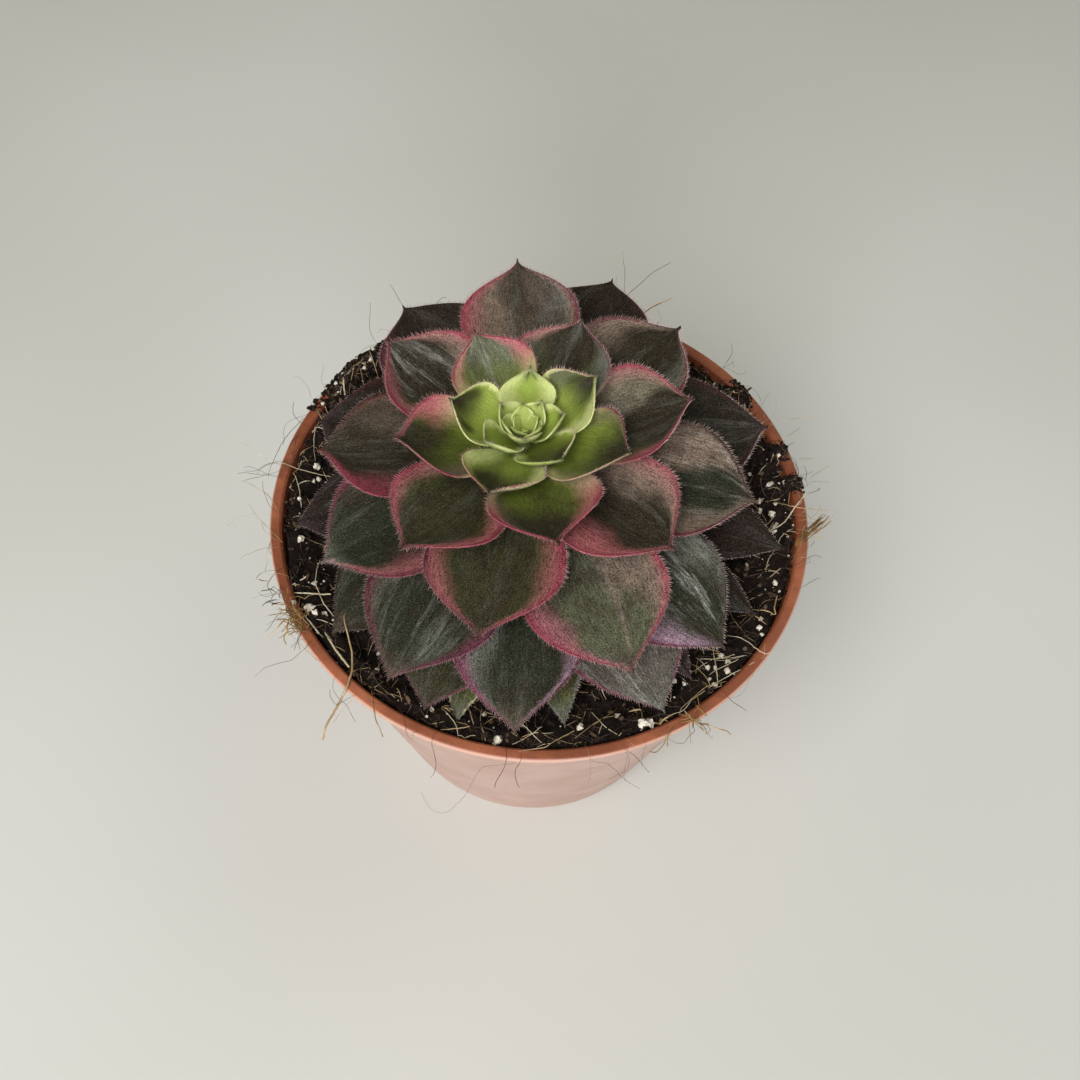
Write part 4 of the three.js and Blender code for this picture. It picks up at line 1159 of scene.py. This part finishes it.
def makeStem(shape):
    # short fleshy stem: green skin going to thin brown bark, ringed by leaf scars
    stem = spinProfile([
        (0, shape["foot"]), (shape["footRadius"] - 1, shape["foot"]), (shape["footRadius"], shape["foot"] + 1),
        (shape["footRadius"], shape["collar"]), (shape["shoulderRadius"], shape["shoulder"]),
        (shape["topRadius"], shape["top"]), (0, shape["top"]),
    ], shape["turns"])
    for vertex in stem.data.vertices:
        vertex.co.x += headShape["x"] * mm
        vertex.co.y += headShape["y"] * mm
    applyModifier(stem, "BEVEL", limit_method="ANGLE", angle_limit=math.radians(20), width=0.4 * mm, segments=3)
    pick(stem)
    bpy.ops.object.shade_smooth_by_angle(angle=math.radians(50))
    material, add, shader = newMaterial("succulent stem bark")
    coords = add("TexCoord", output="Object")
    z = add("SeparateXYZ", [coords], 2)
    scars = add("TexWave", {"Vector": coords, "Scale": shape["scarsPerM"], "Distortion": 6, "Detail": 2},
                bands_direction="Z")
    tint = layTints(add, rgba(shape["bark"]), ([z, shape["barkTop"] * mm, shape["greenFrom"] * mm], shape["green"]),
                    ([scars, 0.6, 0.9, 0, 0.5], shape["scar"]))
    fillSockets(shader, {"Base Color": tint, "Roughness": 0.7,
                         "Normal": add("Bump", {"Height": scars, "Strength": 0.5, "Distance": 0.4 * mm})})
    stem.data.materials.append(material)
    finishPiece(stem, "stemBase", "stem_bark", "stem")


makeStem(stemShape)
print("stem made")


fibreLook = {
    "lying": {"count": 190, "seed": 31, "shortest": 5, "longest": 20, "kinds": [0.4, 0.3, 0.3], "thickShare": 0.08},
    "bits": {"count": 1500, "shortest": 2, "longest": 6, "kinds": [0.2, 0.08, 0.72], "thickShare": 0.03},
    # the arcs are from and to which azimuth, and what share of the fibres spills there
    "spilling": {"count": 110, "seed": 37, "shortest": 4, "longest": 13, "stride": 0.7,
                 "arcs": [(150, 218, 0.38), (-20, 46, 0.32), (222, 325, 0.14), (50, 140, 0.16)]},
    "bundle": {"kind": "gold", "count": 18, "spread": 0.36,
               "knots": [(56.9, -7.2, 94.6), (59.1, -4.7, 95.4), (61.1, -3.1, 96.0), (63.0, -1.5, 97.0)]},
    "tufts": [
        {"azimuth": -3, "radius": 60, "kind": "tan", "count": 12, "length": 4, "heading": 30},
        {"azimuth": 214, "radius": 58.6, "kind": "gold", "count": 60, "length": 5, "heading": 160},
        {"azimuth": 207, "radius": 60.4, "kind": "dark", "count": 14, "length": 3.5, "heading": 215},
        {"azimuth": 302, "radius": 57.8, "kind": "gold", "count": 16, "length": 6, "heading": -50},
    ],
    "tuftSeed": 43, "patchesPerM": 260, "clear": 0.15, "overLip": 0.12, "farthest": 69,
    "tints": {"tan": ("#9b7f55", "#c9b087"), "pale": ("#b5a684", "#dcd2b8"), "dark": ("#2b2019", "#513d2d"),
              "gold": ("#6b4f26", "#a58449")},
}

# single roots that show in the photograph: kind, thickness and the places they pass, in mm
ownFibres = [
    ("tan", 0.5, [(-39, -29, 94.5), (-40, -31.5, 97), (-38.7, -34.6, 96), (-37.1, -39.5, 95.5), (-36.5, -43, 95.8),
                  (-37.1, -46.6, 95.9), (-38.5, -49, 93.6), (-42, -51.7, 87), (-42.9, -53.2, 82)]),
    ("tan", 0.28, [(-31.8, -48.6, 95.4), (-30.8, -52.4, 95), (-29.9, -53.4, 86)]),
    ("tan", 0.14, [(-35.4, -48.8, 95.4), (-37.6, -50.4, 93), (-40, -51.4, 88)]),
    ("pale", 0.42, [(-52.9, -25, 93.5), (-48.1, -25.1, 94), (-43.6, -25.1, 94)]),
    ("pale", 0.4, [(-48.5, -30.3, 94), (-46.5, -32.4, 93.8), (-44.8, -34.3, 93.5)]),
    ("pale", 0.34, [(-53, -23.8, 93.8), (-51, -22.4, 94), (-49.5, -21.3, 94.2)]),
    ("pale", 0.55, [(-42.8, -35.3, 94.2), (-40.2, -38.4, 94), (-37.3, -42.1, 95)]),
    ("tan", 0.42, [(-54.7, -36.2, 95.4), (-53.1, -35.1, 96.5), (-51.9, -33.1, 96.3), (-50, -32.1, 95.5),
                   (-48.1, -31.2, 93.5)]),
    ("tan", 0.12, [(-53.5, -32.3, 97), (-50, -36.3, 96.5), (-45.6, -40, 95.6), (-43.3, -41.5, 95.4)]),
    ("dark", 0.1, [(-57, -44, 92), (-54.9, -42.2, 93.4), (-49.5, -41.4, 95.2), (-46.1, -38, 95.6)]),
    ("pale", 0.2, [(-47.1, -16.9, 94), (-47.3, -22.6, 94.5), (-45.3, -26.6, 94), (-42.4, -30.2, 94)]),
    ("tan", 0.2, [(31.1, -48, 95.5), (33.2, -50.4, 95.2), (36.5, -50.7, 90)]),
    ("tan", 0.24, [(31.1, -48.1, 95.4), (33.6, -50.4, 95.6), (36.7, -50.3, 94), (40.4, -50.5, 92), (41.3, -50.5, 90)]),
    ("dark", 0.12, [(29.1, -49.5, 84), (31.7, -49.3, 80), (33.2, -49.2, 80), (33.7, -49.4, 85), (33.9, -50.4, 91),
                    (32.2, -49, 95.3)]),
    ("pale", 0.2, [(27.8, -49.2, 95.4), (31.1, -48, 95.5), (32.7, -45.1, 94.2), (37.1, -41.6, 93.6),
                   (41.4, -38.6, 93.8), (45.9, -36.4, 95.4)]),
    ("pale", 0.2, [(40.7, -29.9, 94), (42.7, -30.5, 94.8), (45.2, -31.9, 95), (47.2, -34, 95.5), (48.4, -34.6, 95.5),
                   (50.1, -33.6, 95.4)]),
    ("pale", 0.2, [(37.6, -33.4, 94), (38.2, -37, 93.9), (38.4, -40.4, 93.6)]),
    ("pale", 0.16, [(34.9, -35.6, 93.8), (38.3, -35.5, 94.2), (42.1, -34.3, 94)]),
    ("pale", 0.18, [(36.7, -38.9, 93.5), (39.8, -37, 93.9), (42.9, -35.2, 93.8)]),
    ("tan", 0.18, [(34.3, -37.7, 93.8), (35.6, -39.4, 93.9), (36.8, -41.2, 93.4)]),
    ("pale", 0.15, [(-3.8, -50.2, 94.6), (0.5, -53.8, 94.6), (2.8, -55.8, 94)]),
    ("pale", 0.15, [(-3, -56.8, 95.2), (0, -54.8, 95), (2.6, -52.5, 94.2)]),
    ("tan", 0.2, [(-1.7, -58.2, 95.2), (3.1, -57.3, 95.3), (5, -55.5, 94.6), (9.1, -52.9, 94)]),
    ("tan", 0.2, [(-17.4, -54.6, 95.3), (-15.3, -54.2, 94.8), (-11.8, -53.2, 94)]),
    ("dark", 0.09, [(10.7, -55.4, 94.6), (11.6, -57.9, 95.3), (12.6, -59.4, 94.6), (16.4, -55.6, 84), (19.6, -53.1, 72),
                    (22.8, -52.1, 62), (26.2, -52, 57)]),
    ("dark", 0.08, [(0.4, -57, 95.2), (-1.6, -60.5, 94.6), (-9.3, -56.7, 80), (-11.2, -53.9, 66), (-14.6, -50.5, 40),
                    (-19.3, -47.6, 18), (-22.8, -45.2, 6), (-26.1, -43.2, 1.6), (-28.3, -40.6, 1.4),
                    (-29.2, -38, 1.4)]),
    ("tan", 0.12, [(17.4, 56, 95.3), (18.2, 59.2, 98), (17.5, 59, 108), (16.1, 58.3, 116)]),
    ("dark", 0.12, [(16.5, 56.5, 95.3), (17.7, 58.9, 99), (24.1, 61.4, 106), (28.5, 62.4, 109)]),
    ("tan", 0.36, [(19.6, 54, 94), (23, 57.2, 96), (26, 57.6, 99), (29.5, 58.2, 101)]),
    ("dark", 0.1, [(-33.4, 47.6, 95.2), (-36, 51.6, 100), (-38.6, 51.3, 108)]),
    ("dark", 0.1, [(-40.6, 41.2, 95.2), (-43.6, 44.6, 99), (-42.5, 45.1, 108)]),
    ("pale", 0.2, [(-69.4, 12.2, 95.8), (-63.1, 7.4, 95.8), (-59.4, 7, 95.3), (-54.7, 5.6, 95),
                   (-48.1, 4.9, 94)]),
    ("dark", 0.14, [(-61.4, 2.5, 95.8), (-61.4, 5.2, 95.8), (-59.6, 13.1, 95.8), (-57.3, 18, 95.3),
                    (-56.4, 20, 95.3)]),
    ("tan", 0.16, [(-67.5, 1.4, 95.8), (-64.1, 0, 95.8), (-61, -1.9, 95.8), (-57.5, -6.4, 95.3)]),
    ("tan", 0.14, [(-64.4, -4.9, 95.8), (-62.1, -8.1, 95.8), (-59.2, -10.5, 95.3), (-55.5, -13.8, 95.3)]),
    ("pale", 0.14, [(57.2, 23.7, 95.8), (56.7, 21, 95.3)]),
    ("tan", 0.14, [(60.1, 24.5, 95.8), (56.9, 21.6, 95.8)]),
    ("tan", 0.16, [(59, 15.1, 95.8), (60.1, 15.5, 95.8), (62.6, 15.6, 95.8)]),
    ("dark", 0.12, [(60, 13.5, 95.8), (60.4, 11.8, 95.8), (60.1, 9.3, 95.8)]),
    ("tan", 0.16, [(61, 9.9, 95.8), (63.3, 12, 95.8), (66.2, 14.1, 95.8)]),
    ("pale", 0.32, [(49.8, -4.6, 94.4), (54.6, -2, 95), (57.5, 2.5, 95.3), (60.1, 6.4, 95.3)]),
    ("tan", 0.2, [(53.8, 3.7, 94.4), (57.4, 2.2, 95.3), (64.7, 1.5, 95.8)]),
]


def makeRootMaterial(name, tints):
    # dry fibrous root: dull, paler where the skin has come off
    material, add, shader = newMaterial(f"dry root, {name}")
    patch = add("TexNoise", {"Vector": add("TexCoord", output="Object"), "Scale": fibreLook["patchesPerM"],
                             "Detail": 3})
    fillSockets(shader, {"Base Color": layTints(add, rgba(tints[0]), ([patch, 0.38, 0.62], tints[1])),
                         "Roughness": 0.65})
    return material


def fibrePiece(name, lines, tints):  # lines: [(points in mm, thickness in mm)]
    curve = bpy.data.curves.new(name, "CURVE")
    curve.dimensions = "3D"
    curve.bevel_depth = mm
    curve.bevel_resolution = 0
    curve.use_fill_caps = True
    for points, thickness in lines:
        spline = curve.splines.new("POLY")
        spline.points.add(len(points) - 1)
        for i, (point, place) in enumerate(zip(spline.points, points)):
            share = i / (len(points) - 1)
            point.co = (*(np.asarray(place) * mm), 1)
            point.radius = thickness / 2 * (0.45 + 0.55 * math.sin(math.pi * min(1, 0.2 + 0.8 * (1 - share))))
    piece = bpy.data.objects.new(name, curve)
    bpy.context.scene.collection.objects.link(piece)
    pick(piece)
    bpy.ops.object.convert(target="MESH")
    piece = bpy.context.object
    bpy.ops.object.shade_smooth()
    piece.data.materials.clear()
    piece.data.materials.append(makeRootMaterial(name, tints))
    finishPiece(piece, name, "peat_soil")


def lyingFibre(rng, length):
    x, y = loosePlace(rng, 37)
    heading = rng.uniform(0, 2 * math.pi)
    curl = rng.normal() * 0.06
    arch = rng.uniform(0, 0.09) * length if rng.random() < 0.5 else 0.1
    places = []
    for _ in range(max(4, int(length))):
        places.append((x, y, groundHeight(x, y)))
        heading += curl + rng.normal() * 0.1
        x, y = x + math.cos(heading), y + math.sin(heading)
        if math.hypot(x, y) > soilShape["edgeRadius"]:  # turned back by the pot's wall
            x, y, heading = 0.98 * x, 0.98 * y, heading + 0.8
        while groundHeight(x, y) <= 0:
            x, y = 0.98 * x, 0.98 * y
    count = len(places)
    level = np.array([p[2] for p in places])
    for _ in range(3):  # a root bridges the hollows between crumbs
        level[1:-1] = np.maximum(level[1:-1], (level[:-2] + level[2:]) / 2)
    return [(px, py, h + fibreLook["clear"] + arch * math.sin(math.pi * i / max(1, count - 1)))
            for i, ((px, py, _), h) in enumerate(zip(places, level))]


def bentLine(knots, count, rng, shake):  # a smooth line through chosen points, a little uneven
    knots = np.asarray(knots, float)
    run = np.concatenate([[0], np.cumsum(np.linalg.norm(np.diff(knots, axis=0), axis=1))])
    u = np.linspace(0, run[-1], count)
    line = np.stack([np.interp(u, run, knots[:, i]) for i in range(3)], -1)
    for _ in range(3):
        line[1:-1] = (line[:-2] + line[1:-1] * 2 + line[2:]) / 4
    drift = np.cumsum(rng.normal(size=(count, 3)) * shake, axis=0)
    return line + drift - np.linspace(0, 1, count)[:, None] * drift[-1]


def polar(azimuth, radius, height):
    a = math.radians(azimuth)
    return (radius * math.cos(a), radius * math.sin(a), height)


def wander(rng, start, heading, steps, stride, waver, sag):  # a curly thread that stays above what lies under it
    place, heading = np.array(start, float), np.array(heading, float)
    bend = rng.normal(size=3) * waver * 0.6
    points = []
    for _ in range(steps):
        radius = math.hypot(place[0], place[1])
        if radius > potShape["rimRadius"] + fibreLook["clear"]:
            floor = 0
        else:
            floor = groundHeight(place[0], place[1]) + fibreLook["clear"]
            if radius > soilShape["edgeRadius"]:
                floor = max(floor, potShape["height"] + fibreLook["overLip"])
        place[2] = max(place[2], floor)
        if radius > fibreLook["farthest"]:
            place[:2] *= fibreLook["farthest"] / radius
        points.append(tuple(place))
        bend = 0.75 * bend + rng.normal(size=3) * waver * 0.4
        heading = heading + bend + np.array([0, 0, -sag])
        heading /= np.linalg.norm(heading)
        place = place + heading * stride
    return points


def spillingFibre(rng):
    look = fibreLook["spilling"]
    low, high, _ = look["arcs"][rng.choice(len(look["arcs"]), p=[arc[2] for arc in look["arcs"]])]
    azimuth = rng.uniform(low, high)
    length = rng.uniform(look["shortest"], look["longest"])
    start = polar(azimuth, rng.uniform(55.5, 59.5), potShape["height"] + 0.3)
    heading = polar(azimuth + rng.normal() * 40, 1, rng.uniform(0, 1.1))
    return wander(rng, start, heading, int(length / look["stride"]) + 2, look["stride"], 0.28, rng.uniform(0, 0.06))


def tuftFibre(rng, tuft):
    start = polar(tuft["azimuth"] + rng.normal() * 2, tuft["radius"] + rng.normal(),
                  potShape["height"] + rng.uniform(0, 1))
    heading = polar(tuft["heading"] + rng.normal() * 50, 1, rng.normal() * 0.3 + 0.1)
    return wander(rng, start, heading, max(5, int(tuft["length"] * rng.uniform(0.5, 1.3) / 0.5)), 0.5, 0.3, 0.05)


def makeFibres():
    groups = {kind: [] for kind in fibreLook["tints"]}
    rng = np.random.default_rng(fibreLook["lying"]["seed"])
    for part in (fibreLook["lying"], fibreLook["bits"]):
        for _ in range(part["count"]):
            kind = rng.choice(["tan", "pale", "dark"], p=part["kinds"])
            thickness = rng.uniform(0.3, 0.46) if rng.random() < part["thickShare"] else rng.uniform(0.08, 0.22)
            groups[kind].append((lyingFibre(rng, rng.uniform(part["shortest"], part["longest"])), thickness))
    rng = np.random.default_rng(fibreLook["spilling"]["seed"])
    for _ in range(fibreLook["spilling"]["count"]):
        kind = rng.choice(["tan", "dark"], p=[0.3, 0.7])
        groups[kind].append((spillingFibre(rng), rng.uniform(0.05, 0.13)))
    rng = np.random.default_rng(fibreLook["tuftSeed"])
    for tuft in fibreLook["tufts"]:
        groups[tuft["kind"]] += [(tuftFibre(rng, tuft), rng.uniform(0.1, 0.26)) for _ in range(tuft["count"])]
    bundle = fibreLook["bundle"]
    for _ in range(bundle["count"]):
        shift, fray = rng.normal(size=3) * bundle["spread"], rng.normal(size=3) * bundle["spread"] * 0.5
        knots = [tuple(np.array(k) + shift + fray * i) for i, k in enumerate(bundle["knots"])]
        groups[bundle["kind"]].append((bentLine(knots, 14, rng, 0.06), rng.uniform(0.1, 0.28)))
    for kind, thickness, knots in ownFibres:
        groups[kind].append((bentLine(knots, 6 * len(knots), rng, 0.04), thickness))
    for kind, lines in groups.items():
        fibrePiece(f"{kind}Roots", lines, fibreLook["tints"][kind])


makeFibres()
print("roots made")
